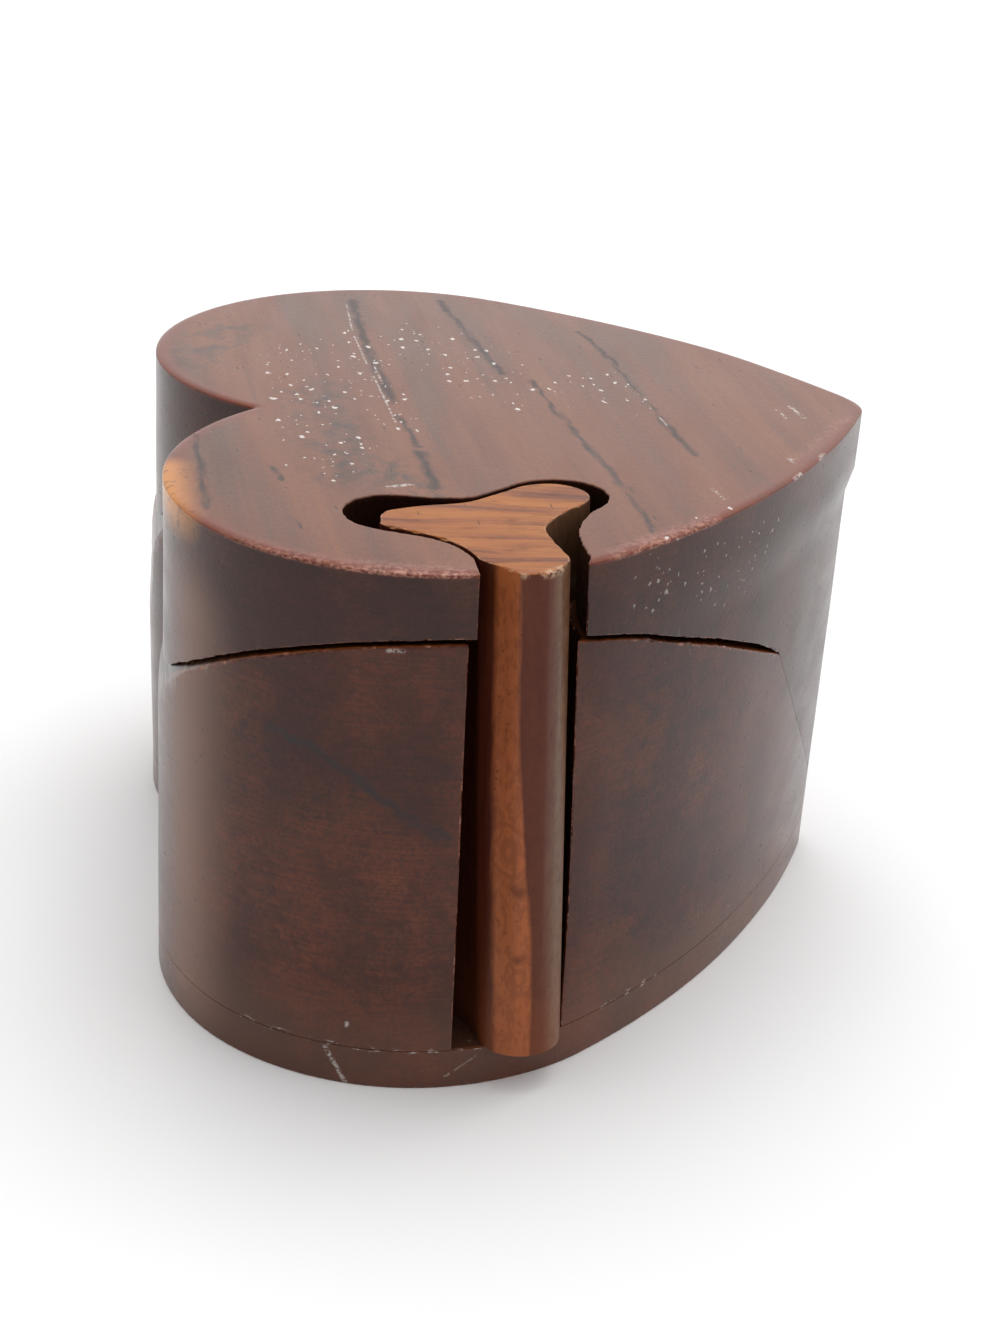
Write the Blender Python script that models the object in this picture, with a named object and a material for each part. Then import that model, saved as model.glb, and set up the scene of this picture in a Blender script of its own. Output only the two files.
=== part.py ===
"""Heart-shaped wooden puzzle box with an arched lid, a sliding key and a felt-lined cavity.

Metres, +Z up. X runs from the heart's lobes to its tip, and the key stands in the wall at -Y.
"""
from math import atan2, cos, pi, radians, sin, sqrt

import bmesh
import bpy
from mathutils import Vector

# Heart outline
HEART_LENGTH = 0.081
HEART_WIDTH = 0.1004
CLEFT_DEPTH = 0.01056
SIDE_RADIUS = 0.109
TIP_RADIUS = 0.003

# Heights
BOX_HEIGHT = 0.0575
SLAB_THICKNESS = 0.0045
CROWN_DEPTH = 0.0073
SEAT_GAP = 0.0003

# Points closer than this count as one place
SAME_PLACE = 0.00002

# The lid as it sits: pushed towards the tip, with the saw cut wide open only at its end over the tip
LID_SHIFT = 0.0008
SAW_KERF = 0.0009
LIP_DEPTH = 0.007
LIP_BLEND = 0.003
RIM_ROUND = 0.0009
WALL_LEAN = 0.001

# The key and its slot; the key leans in the slot, with its foot nearer the tip and further out
KEY_X = -0.0065
KEY_CLEARANCE = 0.00035
KEY_LEAN = 0.0018
KEY_LEAN_OUT = 0.0015
SLOT_LEAN = 0.001
MOUTH_TAPER = 0.001
NECK_WIDTH = 0.0088
NOSE_PROUD = 0.001
NOSE_LENGTH = 0.0041
HEAD_SPAN = 0.02525
HEAD_REACH = 0.0205
KEY_EASE = 0.0003

# The cavity and its lining
WALL_THICKNESS = 0.009
SLOT_WALL = 0.005
CAVITY_TIP_RADIUS = 0.004
CAVITY_CORNER = 0.004
FELT_THICKNESS = 0.0009
FELT_SETBACK = 0.0015

# Cutters run past what they cut by this much
OVERRUN = 0.01

# Steps along each round stretch
LOBE_STEPS = 34
SIDE_STEPS = 18
TIP_STEPS = 6
CLEFT_STEPS = 8
CURVE_STEPS = 4
CORNER_STEPS = 6
RIM_STEPS = 3
EASE_STEPS = 2

# The arched saw cut from beyond the lobes to the open slit's end: share of half the heart's length,
# share of the arch's height
ARCH_SHARES = [
    (-1.052, 0.240),
    (-1.017, 0.540),
    (-1.009, 0.667),
    (-0.993, 0.749),
    (-0.953, 0.815),
    (-0.864, 0.882),
    (-0.748, 0.936),
    (-0.593, 0.976),
    (-0.432, 0.996),
    (-0.284, 1.000),
    (-0.111, 0.992),
    (0.106, 0.956),
    (0.277, 0.896),
    (0.432, 0.835),
    (0.593, 0.751),
    (0.677, 0.695),
]
WEDGE_FOOT_SHARES = (1.0, 0.155)

# Key head as sawn: share of the span from the neck's middle, share of the reach, share trimmed off
# towards the wing's root
HEAD_SHARES = [
    (0.172, 0.20, 0.06),
    (0.190, 0.39, 0.10),
    (0.268, 0.60, 0.04),
    (0.354, 0.73, 0.00),
    (0.378, 0.84, 0.00),
    (0.340, 0.94, 0.00),
    (0.253, 1.00, 0.00),
    (0.135, 0.98, 0.00),
    (0.020, 0.88, 0.00),
    (-0.130, 0.76, 0.03),
    (-0.317, 0.765, 0.20),
    (-0.479, 0.81, 0.42),
    (-0.578, 0.76, 0.42),
    (-0.622, 0.655, 0.40),
    (-0.598, 0.535, 0.33),
    (-0.519, 0.445, 0.12),
    (-0.340, 0.325, 0.00),
    (-0.232, 0.19, 0.00),
]
WING_ROOT_SHARES = (-0.297, 0.50)

# Key nose: share of half the neck's width, share of the nose's length
NOSE_SHARES = [
    (-1.00, 0.00),
    (-0.82, 0.25),
    (-0.52, 0.55),
    (-0.20, 1.00),
    (0.36, 0.93),
    (0.72, 0.60),
    (0.98, 0.16),
]

TIP_X = HEART_LENGTH / 2
LOBE_RADIUS = HEART_WIDTH / 2 + CLEFT_DEPTH - sqrt(HEART_WIDTH * CLEFT_DEPTH)
LOBE_OFFSET = HEART_WIDTH / 2 - LOBE_RADIUS
LOBE_X = LOBE_RADIUS - TIP_X
ARCH_TOP = BOX_HEIGHT - CROWN_DEPTH
WALL_AT_KEY = LOBE_OFFSET + sqrt(LOBE_RADIUS ** 2 - (KEY_X - LOBE_X) ** 2)
NOSE_Y = -WALL_AT_KEY - NOSE_PROUD
NECK_Y = NOSE_Y + NOSE_LENGTH
SLOT_GAP = KEY_CLEARANCE + LID_SHIFT
CHORD_Y = NECK_Y + HEAD_REACH + SLOT_GAP + SLOT_WALL


def arc(centre, radius, start, end, steps):
    """Points along an arc, both ends included."""
    turns = (start + (end - start) * i / steps for i in range(steps + 1))
    return [Vector((centre.x + radius * cos(a), centre.y + radius * sin(a))) for a in turns]


def circles_meet(first, first_radius, second, second_radius):
    """The lower of the two points that lie at these distances from two centres."""
    between = second - first
    span = between.length
    along = (first_radius ** 2 - second_radius ** 2 + span ** 2) / (2 * span)
    across = sqrt(first_radius ** 2 - along ** 2)
    middle = first + between * along / span
    return middle + Vector((between.y, -between.x)) * across / span


def half_heart(lobe_x, tip_x, inset, tip_radius):
    """Half outline from the cleft round one lobe to the tip, for y above zero."""
    lobe = Vector((lobe_x, LOBE_OFFSET))
    outer_tip = Vector((tip_x - TIP_RADIUS, 0))
    side = circles_meet(lobe, SIDE_RADIUS - LOBE_RADIUS, outer_tip, SIDE_RADIUS - TIP_RADIUS)
    cleft = Vector((lobe_x - sqrt(LOBE_RADIUS ** 2 - LOBE_OFFSET ** 2), 0))
    side_radius = SIDE_RADIUS - inset
    tip = Vector((side.x + sqrt((side_radius - tip_radius) ** 2 - side.y ** 2), 0))

    to_cleft = atan2(cleft.y - lobe.y, cleft.x - lobe.x) % (2 * pi)
    to_side = atan2(lobe.y - side.y, lobe.x - side.x)
    to_tip = atan2(tip.y - side.y, tip.x - side.x)

    points = arc(lobe, LOBE_RADIUS - inset, to_cleft, to_side, LOBE_STEPS)
    points += arc(side, side_radius, to_side, to_tip, SIDE_STEPS)[1:]
    points += arc(tip, tip_radius, to_tip, 0, TIP_STEPS)[1:]
    if inset > 0:
        points = arc(cleft, inset, 0, to_cleft - pi, CLEFT_STEPS)[:-1] + points
    return points


def heart(lobe_x=LOBE_X, tip_x=TIP_X, inset=0, tip_radius=TIP_RADIUS):
    """Closed heart outline, counter-clockwise from the cleft."""
    far = half_heart(lobe_x, tip_x, inset, tip_radius)
    far[0].y = 0
    far[-1].y = 0
    near = [Vector((p.x, -p.y)) for p in far]
    return near + far[-2:0:-1]


def smooth_curve(knots, closed_by):
    """Catmull-Rom curve through the knots; closed_by holds the points before and after them."""
    chain = [closed_by[0]] + knots + [closed_by[1]]
    points = []
    for before, start, end, after in zip(chain, chain[1:], chain[2:], chain[3:]):
        for i in range(CURVE_STEPS):
            t = i / CURVE_STEPS
            pull = (end - before) / 2
            push = (after - start) / 2
            blend = 2 * t ** 3 - 3 * t ** 2
            leaving = pull * (t ** 3 - 2 * t ** 2 + t)
            arriving = push * (t ** 3 - t ** 2)
            points.append(start * (blend + 1) + end * -blend + leaving + arriving)
    return points + [knots[-1].copy()]


def beside(chain, distance):
    """The line moved sideways to its right, without the first and last points of its chain."""
    moved = []
    for before, point, after in zip(chain, chain[1:], chain[2:]):
        along = (after - before).normalized()
        moved.append(point + Vector((along.y, -along.x)) * distance)
    return moved


def head_curve(finished):
    """The key's head from the neck's right side round to its left side, as sawn or as finished."""
    root = Vector((WING_ROOT_SHARES[0] * HEAD_SPAN, WING_ROOT_SHARES[1] * HEAD_REACH))
    knots = []
    for across, inward, trim in HEAD_SHARES:
        knot = Vector((across * HEAD_SPAN, inward * HEAD_REACH))
        knots.append(knot.lerp(root, trim) if finished else knot)
    right = Vector((NECK_WIDTH / 2, 0))
    left = Vector((-NECK_WIDTH / 2, 0))
    below = Vector((0, NOSE_LENGTH))
    corner = Vector((KEY_X, NECK_Y))
    return [p + corner for p in smooth_curve([right] + knots + [left], (right - below, left - below))]


def key_outline():
    """Plan of the finished key, counter-clockwise from the left end of its nose."""
    nose = [
        Vector((KEY_X + across * NECK_WIDTH / 2, NECK_Y - outward * NOSE_LENGTH))
        for across, outward in NOSE_SHARES
    ]
    return nose + head_curve(True)[:-1]


def slot_outline():
    """Plan of the slot: the key as sawn, with the saw's clearance all round, narrowed at the wall."""
    curve = head_curve(False)
    ends = [curve[0] + Vector((0, -NOSE_LENGTH)), curve[-1] + Vector((0, -NOSE_LENGTH))]
    widened = beside([ends[0]] + curve + [ends[1]], SLOT_GAP)
    mouth = NOSE_Y - OVERRUN
    right = widened[0].x - MOUTH_TAPER
    lip = Vector((right, NOSE_Y + NOSE_PROUD))
    return [Vector((widened[-1].x, mouth)), Vector((right, mouth)), lip] + widened


def place(bm, outline, z):
    """A closed loop of edges at one height."""
    verts = [bm.verts.new((p.x, p.y, z)) for p in outline]
    return [bm.edges.new((verts[i - 1], verts[i])) for i in range(len(verts))]


def leaning(outline, z, across, outward=0.0):
    """The outline moved by its share of a lean, which is nothing at the box's top and whole at z = 0."""
    share = 1 - z / BOX_HEIGHT
    return [p + Vector((across, -outward)) * share for p in outline]


def leaning_slot(z):
    """The slot's outline at one height: its left wall is upright, its right wall leans with the key."""
    outline = slot_outline()
    leant = leaning(outline, z, SLOT_LEAN, KEY_LEAN_OUT)
    shares = [(p.x - KEY_X) / NECK_WIDTH + 0.5 for p in outline]
    return [p.lerp(q, min(max(share, 0), 1)) for p, q, share in zip(outline, leant, shares)]


def wall(outline, z):
    """The sawn outer wall's outline at one height."""
    return leaning(outline, z, -WALL_LEAN)


def solid_from_rings(rings):
    """A closed solid through (outline, height) rings, all with as many points."""
    bm = bmesh.new()
    loops = [place(bm, outline, z) for outline, z in rings]
    for lower, upper in zip(loops, loops[1:]):
        bmesh.ops.bridge_loops(bm, edges=lower + upper)
    for loop in (loops[0], loops[-1]):
        bmesh.ops.contextual_create(bm, geom=loop)
    bmesh.ops.recalc_face_normals(bm, faces=bm.faces)
    return bm


def round_top_edge(bm, z, width, steps):
    """Rounds the edges that bound the top face."""
    rim = [e for e in bm.edges if all(abs(v.co.z - z) < SAME_PLACE for v in e.verts)]
    bmesh.ops.bevel(bm, geom=rim, offset=width, segments=steps, profile=0.5, affect="EDGES")


def slab_along_y(profile):
    """A prism across the whole box from an outline in X and Z."""
    reach = HEART_WIDTH / 2 + NOSE_PROUD + OVERRUN
    bm = bmesh.new()
    face = bm.faces.new([bm.verts.new((p.x, -reach, p.y)) for p in profile])
    made = bmesh.ops.extrude_face_region(bm, geom=[face])["geom"]
    far_side = [g for g in made if isinstance(g, bmesh.types.BMVert)]
    bmesh.ops.translate(bm, vec=(0, 2 * reach, 0), verts=far_side)
    bmesh.ops.recalc_face_normals(bm, faces=bm.faces)
    return bm


def material(name, colour, roughness):
    """A plain finish in the piece's own colour."""
    made = bpy.data.materials.new(name)
    made.use_nodes = True
    shader = made.node_tree.nodes["Principled BSDF"]
    shader.inputs["Base Color"].default_value = (*colour, 1)
    shader.inputs["Roughness"].default_value = roughness
    shader.inputs["Metallic"].default_value = 0
    return made


def add_object(name, bm, parent, finish=None):
    """Turns a bmesh into a named object under the box's empty."""
    mesh = bpy.data.meshes.new(name)
    bm.to_mesh(mesh)
    bm.free()
    made = bpy.data.objects.new(name, mesh)
    bpy.context.scene.collection.objects.link(made)
    made.parent = parent
    if finish:
        mesh.materials.append(finish)
        mesh.shade_smooth()
        mesh.set_sharp_from_angle(angle=radians(30))
    else:
        made.hide_render = True
        made.display_type = "WIRE"
    return made


def cut(piece, cutter):
    """Takes the cutter's shape out of the piece."""
    step = piece.modifiers.new(cutter.name, "BOOLEAN")
    step.operation = "DIFFERENCE"
    step.solver = "EXACT"
    step.object = cutter


def cavity_solid(inset, low, high):
    """The cavity, drawn in by an inset: the heart's own curves behind a straight wall at the slot."""
    outline = heart(inset=WALL_THICKNESS + inset, tip_radius=CAVITY_TIP_RADIUS)
    bm = solid_from_rings([(outline, low), (outline, high)])
    chord = CHORD_Y + inset
    geometry = bm.verts[:] + bm.edges[:] + bm.faces[:]
    sliced = bmesh.ops.bisect_plane(
        bm, geom=geometry, dist=SAME_PLACE, plane_co=(0, chord, 0), plane_no=(0, -1, 0), clear_outer=True
    )
    rim = [g for g in sliced["geom_cut"] if isinstance(g, bmesh.types.BMEdge)]
    bmesh.ops.contextual_create(bm, geom=rim)
    on_chord = [e for e in bm.edges if all(abs(v.co.y - chord) < SAME_PLACE for v in e.verts)]
    corners = [e for e in on_chord if abs(e.verts[0].co.z - e.verts[1].co.z) > SAME_PLACE]
    rounding = {"offset": CAVITY_CORNER, "segments": CORNER_STEPS, "profile": 0.5}
    bmesh.ops.bevel(bm, geom=corners, affect="EDGES", **rounding)
    bmesh.ops.recalc_face_normals(bm, faces=bm.faces)
    return bm


def arch_line():
    """The saw cut in X and Z: the arched stretch, and the far end of the straight one under the wedge."""
    knots = [Vector((across * TIP_X, up * ARCH_TOP)) for across, up in ARCH_SHARES]
    foot = Vector((WEDGE_FOOT_SHARES[0] * TIP_X, WEDGE_FOOT_SHARES[1] * ARCH_TOP))
    arched = smooth_curve(knots, (knots[0] * 2 - knots[1], knots[-1] * 2 - knots[-2]))
    return arched, foot + (foot - knots[-1]).normalized() * OVERRUN


def above_arch_profile(drop):
    """What lies above the arch, lowered by a drop, as an outline in X and Z."""
    arched, wedge_end = arch_line()
    line = arched + [wedge_end]
    line = beside([line[0] * 2 - line[1]] + line + [line[-1] * 2 - line[-2]], drop)
    ceiling = BOX_HEIGHT + OVERRUN
    feet = [(line[-1].x, -OVERRUN), (HEART_LENGTH, -OVERRUN), (HEART_LENGTH, ceiling)]
    far_feet = [(-HEART_LENGTH, ceiling), (-HEART_LENGTH, -OVERRUN), (line[0].x, -OVERRUN)]
    return line + [Vector(corner) for corner in feet + far_feet]


def under_lid_profile():
    """What lies below the lid: the slit, which opens to a full kerf, then the wedge's close face."""
    arched, wedge_end = arch_line()
    chain = [arched[0] * 2 - arched[1]] + arched + [wedge_end]
    closed = beside(chain, -SEAT_GAP)
    sawn = beside(chain, -SAW_KERF)
    slit = [shut.lerp(wide, i / (len(closed) - 1)) for i, (shut, wide) in enumerate(zip(closed, sawn))]
    line = slit + [closed[-1], closed[-1] + wedge_end - arched[-1]]
    return line + [Vector((line[-1].x, -OVERRUN)), Vector((line[0].x, -OVERRUN))]


def make_origin():
    """The empty that carries the box, so that the whole box stands centred on the world's origin."""
    foot = leaning(key_outline(), SLAB_THICKNESS + SEAT_GAP, KEY_LEAN, KEY_LEAN_OUT)
    low = Vector((-TIP_X - WALL_LEAN, min([p.y for p in foot] + [-HEART_WIDTH / 2])))
    high = Vector((TIP_X + LID_SHIFT, HEART_WIDTH / 2))
    centre = (low + high) / 2
    origin = bpy.data.objects.new("box_origin", None)
    origin.location = (-centre.x, -centre.y, 0)
    bpy.context.scene.collection.objects.link(origin)
    return origin


def make_base_slab(origin, finish):
    """The glued floor board."""
    bm = solid_from_rings([(wall(heart(), z), z) for z in (0, SLAB_THICKNESS)])
    return add_object("base_slab", bm, origin, finish)


def make_body(origin, finish):
    """The block: heart outline, arched top, cavity and key slot right through to the floor board."""
    heights = (SLAB_THICKNESS + SEAT_GAP, BOX_HEIGHT)
    bm = solid_from_rings([(wall(heart(), z), z) for z in heights])
    body = add_object("body", bm, origin, finish)
    cut(body, add_object("arch_cutter", slab_along_y(above_arch_profile(0)), origin))
    cut(body, add_object("cavity_cutter", cavity_solid(0, -OVERRUN, BOX_HEIGHT + OVERRUN), origin))
    cut(body, add_object("slot_cutter", slot_solid(), origin))
    return body


def slot_solid():
    """The key's slot as a cutter, taller than the box."""
    return solid_from_rings([(leaning_slot(z), z) for z in (-OVERRUN, BOX_HEIGHT + OVERRUN)])


def make_lid(origin, finish):
    """The lid: its rim overhangs the tip, its skirt is flush there, and its underside is the arch."""
    rim = heart(lobe_x=LOBE_X + LID_SHIFT, tip_x=TIP_X + LID_SHIFT)
    skirt = heart(lobe_x=LOBE_X + LID_SHIFT)
    lip = BOX_HEIGHT - LIP_DEPTH
    rings = [(skirt, SLAB_THICKNESS), (skirt, lip - LIP_BLEND), (rim, lip), (rim, BOX_HEIGHT)]
    bm = solid_from_rings([(wall(outline, z), z) for outline, z in rings])
    round_top_edge(bm, BOX_HEIGHT, RIM_ROUND, RIM_STEPS)
    lid = add_object("lid", bm, origin, finish)
    cut(lid, add_object("under_lid_cutter", slab_along_y(under_lid_profile()), origin))
    opening = add_object("lid_slot_cutter", slot_solid(), origin)
    opening.location.x = LID_SHIFT
    cut(lid, opening)
    return lid


def make_key(origin, finish):
    """The key, standing on the floor board, leaning in its slot and level with the lid's top."""
    heights = (SLAB_THICKNESS + SEAT_GAP, BOX_HEIGHT)
    rings = [(leaning(key_outline(), z, KEY_LEAN, KEY_LEAN_OUT), z) for z in heights]
    bm = solid_from_rings(rings)
    round_top_edge(bm, BOX_HEIGHT, KEY_EASE, EASE_STEPS)
    bmesh.ops.translate(bm, vec=(-KEY_X, -NECK_Y, 0), verts=bm.verts)
    key = add_object("key", bm, origin, finish)
    key.location = (KEY_X, NECK_Y, 0)
    return key


def make_floor_felt(origin, finish):
    """The felt pad, inside the wall strip's foot."""
    floor = SLAB_THICKNESS + SEAT_GAP
    bm = cavity_solid(FELT_THICKNESS + 2 * SEAT_GAP, floor, floor + FELT_THICKNESS)
    return add_object("floor_felt", bm, origin, finish)


def make_wall_felt(origin, finish):
    """The felt strip round the cavity's wall, set back below the arch."""
    bm = cavity_solid(SEAT_GAP, SLAB_THICKNESS + SEAT_GAP, BOX_HEIGHT)
    strip = add_object("wall_felt", bm, origin, finish)
    hollow = cavity_solid(SEAT_GAP + FELT_THICKNESS, -OVERRUN, BOX_HEIGHT + OVERRUN)
    cut(strip, add_object("felt_hollow_cutter", hollow, origin))
    cut(strip, add_object("felt_top_cutter", slab_along_y(above_arch_profile(FELT_SETBACK)), origin))
    return strip


def main():
    for old in list(bpy.data.objects):
        bpy.data.objects.remove(old, do_unlink=True)
    origin = make_origin()
    dark_wood = material("dark_wood", (0.115, 0.036, 0.019), 0.42)
    lid_wood = material("lid_wood", (0.170, 0.060, 0.034), 0.38)
    key_wood = material("key_wood", (0.330, 0.110, 0.032), 0.40)
    felt = material("felt", (0.110, 0.012, 0.016), 0.95)
    make_base_slab(origin, dark_wood)
    make_body(origin, dark_wood)
    make_lid(origin, lid_wood)
    make_key(origin, key_wood)
    make_floor_felt(origin, felt)
    make_wall_felt(origin, felt)


main()
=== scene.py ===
"""Heart-shaped wooden puzzle box: sawn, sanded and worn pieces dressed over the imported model.

Metres, +Z up. The shapes are drawn as part.py draws them, with X from the heart's lobes to its tip
and the key in the wall at -Y, and then moved by DRAWN_TO_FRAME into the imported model's frame.
Patterns are laid out in millimetres in the drawing's own frame.
"""
from math import atan2, cos, hypot, pi, radians, sin, sqrt

import bmesh
import bpy
from mathutils import Matrix, Vector, noise


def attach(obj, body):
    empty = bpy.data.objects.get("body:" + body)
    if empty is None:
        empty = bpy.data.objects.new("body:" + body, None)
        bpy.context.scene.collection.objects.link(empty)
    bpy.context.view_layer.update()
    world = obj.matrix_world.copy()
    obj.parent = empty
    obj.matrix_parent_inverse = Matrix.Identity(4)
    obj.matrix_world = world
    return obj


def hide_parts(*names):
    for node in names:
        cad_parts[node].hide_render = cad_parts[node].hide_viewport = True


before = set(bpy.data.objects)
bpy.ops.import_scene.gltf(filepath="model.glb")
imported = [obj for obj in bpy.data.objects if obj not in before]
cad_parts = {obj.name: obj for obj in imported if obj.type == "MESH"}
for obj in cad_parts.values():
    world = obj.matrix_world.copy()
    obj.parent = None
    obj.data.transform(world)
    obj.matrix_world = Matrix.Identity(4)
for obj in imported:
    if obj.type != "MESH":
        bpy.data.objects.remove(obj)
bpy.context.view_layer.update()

MM = 0.001
UP = Vector((0, 0, 1))
NEARWARD = Vector((0, -1, 0))
DRAWN_TO_FRAME = Vector((0.0001, 0.000886, 0))

# Heart outline
HEART_LENGTH = 0.081
HEART_WIDTH = 0.1004
CLEFT_DEPTH = 0.01056
SIDE_RADIUS = 0.109
TIP_RADIUS = 0.0075
TIP_SKEW = 0.0006
TIP_SKEW_FROM = 0.010

# Heights
BOX_HEIGHT = 0.0575
SLAB_THICKNESS = 0.0045
CROWN_DEPTH = 0.0073
GLUE_LINE = 0.00008

# The lid as it sits: pushed towards the tip, with the saw cut wide open only at its end over the tip
LID_SHIFT = 0.0008
LOBE_SHIFT = 0.0005
SLIT_START = 0.00012
SAW_KERF = 0.00078
SEAT_GAP = 0.00003
LIP_DEPTH = 0.007
LIP_BLEND = 0.003
RIM_ROUND = 0.001
RIM_FLATTENED = 0.35
TIP_WORN = (0.0006, 0.0004)
TIP_WORN_ALONG = (0.029, 0.040)
TIP_WORN_ACROSS = (-0.003, 0.0035)
WALL_LEAN = 0.001
FAR_LOBE_OUT = 0.00092
FAR_LOBE_ALONG = (-0.020, -0.036)
FAR_LOBE_ACROSS = (0.004, 0.020)
SKIRT_FLUSH = (0.002, 0.024)

# The key and its slot
KEY_X = -0.0065
KEY_CLEARANCE = 0.00035
KEY_LEAN = 0.0018
KEY_LEAN_OUT = 0.0015
SLOT_LEAN = 0.001
MOUTH_TAPER = 0.001
NECK_WIDTH = 0.0088
NOSE_PROUD = 0.001
NOSE_LENGTH = 0.0041
FOOT_ROUND_FROM = 0.018
HEAD_SPAN = 0.02525
HEAD_REACH = 0.0205

# The cavity and its lining
WALL_THICKNESS = 0.009
SLOT_WALL = 0.005
CAVITY_TIP_RADIUS = 0.004
CAVITY_CORNER = 0.004
FELT_THICKNESS = 0.0009
FELT_SETBACK = 0.0015
FELT_CLEARANCE = 0.0003

OVERRUN = 0.01
SAME_PLACE = 0.00001

# The arched saw cut from beyond the lobes to the open slit's end: share of half the heart's length,
# share of the arch's height
ARCH_SHARES = [
    (-1.052, 0.240),
    (-1.017, 0.540),
    (-1.009, 0.667),
    (-0.993, 0.728),
    (-0.953, 0.797),
    (-0.864, 0.873),
    (-0.748, 0.932),
    (-0.593, 0.976),
    (-0.432, 0.996),
    (-0.284, 1.000),
    (-0.111, 0.992),
    (0.106, 0.956),
    (0.277, 0.896),
    (0.432, 0.835),
    (0.593, 0.754),
    (0.677, 0.708),
]
WEDGE_FOOT_SHARES = (1.0, 0.155)

# Key head as sawn: share of the span from the neck's middle, share of the reach, share trimmed off
HEAD_SHARES = [
    (0.172, 0.20, 0.06),
    (0.190, 0.39, 0.10),
    (0.268, 0.60, 0.04),
    (0.354, 0.73, 0.00),
    (0.378, 0.84, 0.00),
    (0.340, 0.94, 0.00),
    (0.253, 1.00, 0.00),
    (0.135, 0.98, 0.00),
    (0.020, 0.88, 0.00),
    (-0.130, 0.76, 0.03),
    (-0.317, 0.765, 0.20),
    (-0.479, 0.81, 0.42),
    (-0.578, 0.76, 0.42),
    (-0.622, 0.655, 0.40),
    (-0.598, 0.535, 0.33),
    (-0.519, 0.445, 0.12),
    (-0.340, 0.325, 0.00),
    (-0.232, 0.19, 0.00),
]
WING_ROOT_SHARES = (-0.297, 0.50)

# Key nose: share of half the neck's width, share of the nose's length
NOSE_SHARES = [
    (-1.00, 0.00),
    (-0.82, 0.25),
    (-0.52, 0.55),
    (-0.20, 1.00),
    (0.36, 0.93),
    (0.72, 0.60),
    (0.98, 0.16),
]

TIP_X = HEART_LENGTH / 2
LOBE_RADIUS = HEART_WIDTH / 2 + CLEFT_DEPTH - sqrt(HEART_WIDTH * CLEFT_DEPTH)
LOBE_OFFSET = HEART_WIDTH / 2 - LOBE_RADIUS
LOBE_X = LOBE_RADIUS - TIP_X
ARCH_TOP = BOX_HEIGHT - CROWN_DEPTH
WALL_AT_KEY = LOBE_OFFSET + sqrt(LOBE_RADIUS ** 2 - (KEY_X - LOBE_X) ** 2)
NOSE_Y = -WALL_AT_KEY - NOSE_PROUD
NECK_Y = NOSE_Y + NOSE_LENGTH
SLOT_GAP = KEY_CLEARANCE + LID_SHIFT
CHORD_Y = NECK_Y + HEAD_REACH + SLOT_GAP + SLOT_WALL

# How finely curves are drawn
LOBE_STEPS = 170
SIDE_STEPS = 100
TIP_STEPS = 12
CLEFT_STEPS = 10
HEAD_STEPS = 14
NOSE_STEPS = 4
ARCH_STEPS = 12
WEDGE_STEPS = 60
WALL_RINGS = 20
SLAB_RINGS = 2
RIM_RINGS = 3
KEY_RINGS_UP = 16
CORNER_STEPS = 8
RIM_STEPS = 6
ARRIS_STEPS = 2
SLIT_TAPER_STEPS = 15

# What the tools and the hands left: saw ripple, sanding waves, eased and chipped arrises
SLOT_RIPPLE = 0.00013
ARCH_RIPPLE = 0.00007
SAW_PITCH = 0.0006
SANDING_WAVE = 0.00007
SANDING_PITCH = 0.012
SECOND_WAVE = UP * 31
ARRIS = 0.0002
KEY_ARRIS = 0.00022
SHARP = radians(38)
SMOOTH_BELOW = radians(40)
CHIP_PITCH = 0.0011
CHIP_FROM = 0.16
CHIP_DEPTH = 0.0006
KEY_CHIP_DEPTH = 0.0003
NAP_PITCH = 0.0012
NAP_LUMP = 0.0021
NAP_DEPTH = 0.00012


# Curves

def arc(centre, radius, start, end, steps):
    """Points along an arc in plan, both ends included."""
    turns = (start + (end - start) * i / steps for i in range(steps + 1))
    return [Vector((centre.x + radius * cos(a), centre.y + radius * sin(a), 0)) for a in turns]


def circles_meet(first, first_radius, second, second_radius):
    """The lower of the two points that lie at these distances from two centres."""
    between = second - first
    span = between.length
    along = (first_radius ** 2 - second_radius ** 2 + span ** 2) / (2 * span)
    across = sqrt(first_radius ** 2 - along ** 2)
    return first + between * along / span + Vector((between.y, -between.x, 0)) * across / span


def side_centre(lobe_x=LOBE_X, tip_x=TIP_X):
    """Centre of the long side's arc, for the half with y above zero."""
    lobe = Vector((lobe_x, LOBE_OFFSET, 0))
    tip = Vector((tip_x - TIP_RADIUS, 0, 0))
    return circles_meet(lobe, SIDE_RADIUS - LOBE_RADIUS, tip, SIDE_RADIUS - TIP_RADIUS)


def half_heart(lobe_x, tip_x, inset, tip_radius):
    """Half outline from the cleft round one lobe to the tip, for y above zero."""
    lobe = Vector((lobe_x, LOBE_OFFSET, 0))
    side = side_centre(lobe_x, tip_x)
    cleft = Vector((lobe_x - sqrt(LOBE_RADIUS ** 2 - LOBE_OFFSET ** 2), 0, 0))
    side_radius = SIDE_RADIUS - inset
    tip = Vector((side.x + sqrt((side_radius - tip_radius) ** 2 - side.y ** 2), 0, 0))

    to_cleft = atan2(cleft.y - lobe.y, cleft.x - lobe.x) % (2 * pi)
    to_side = atan2(lobe.y - side.y, lobe.x - side.x)
    to_tip = atan2(tip.y - side.y, tip.x - side.x)

    points = arc(lobe, LOBE_RADIUS - inset, to_cleft, to_side, LOBE_STEPS)
    points += arc(side, side_radius, to_side, to_tip, SIDE_STEPS)[1:]
    points += arc(tip, tip_radius, to_tip, 0, TIP_STEPS)[1:]
    if inset > 0:
        points = arc(cleft, inset, 0, to_cleft - pi, CLEFT_STEPS)[:-1] + points
    return points


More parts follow.
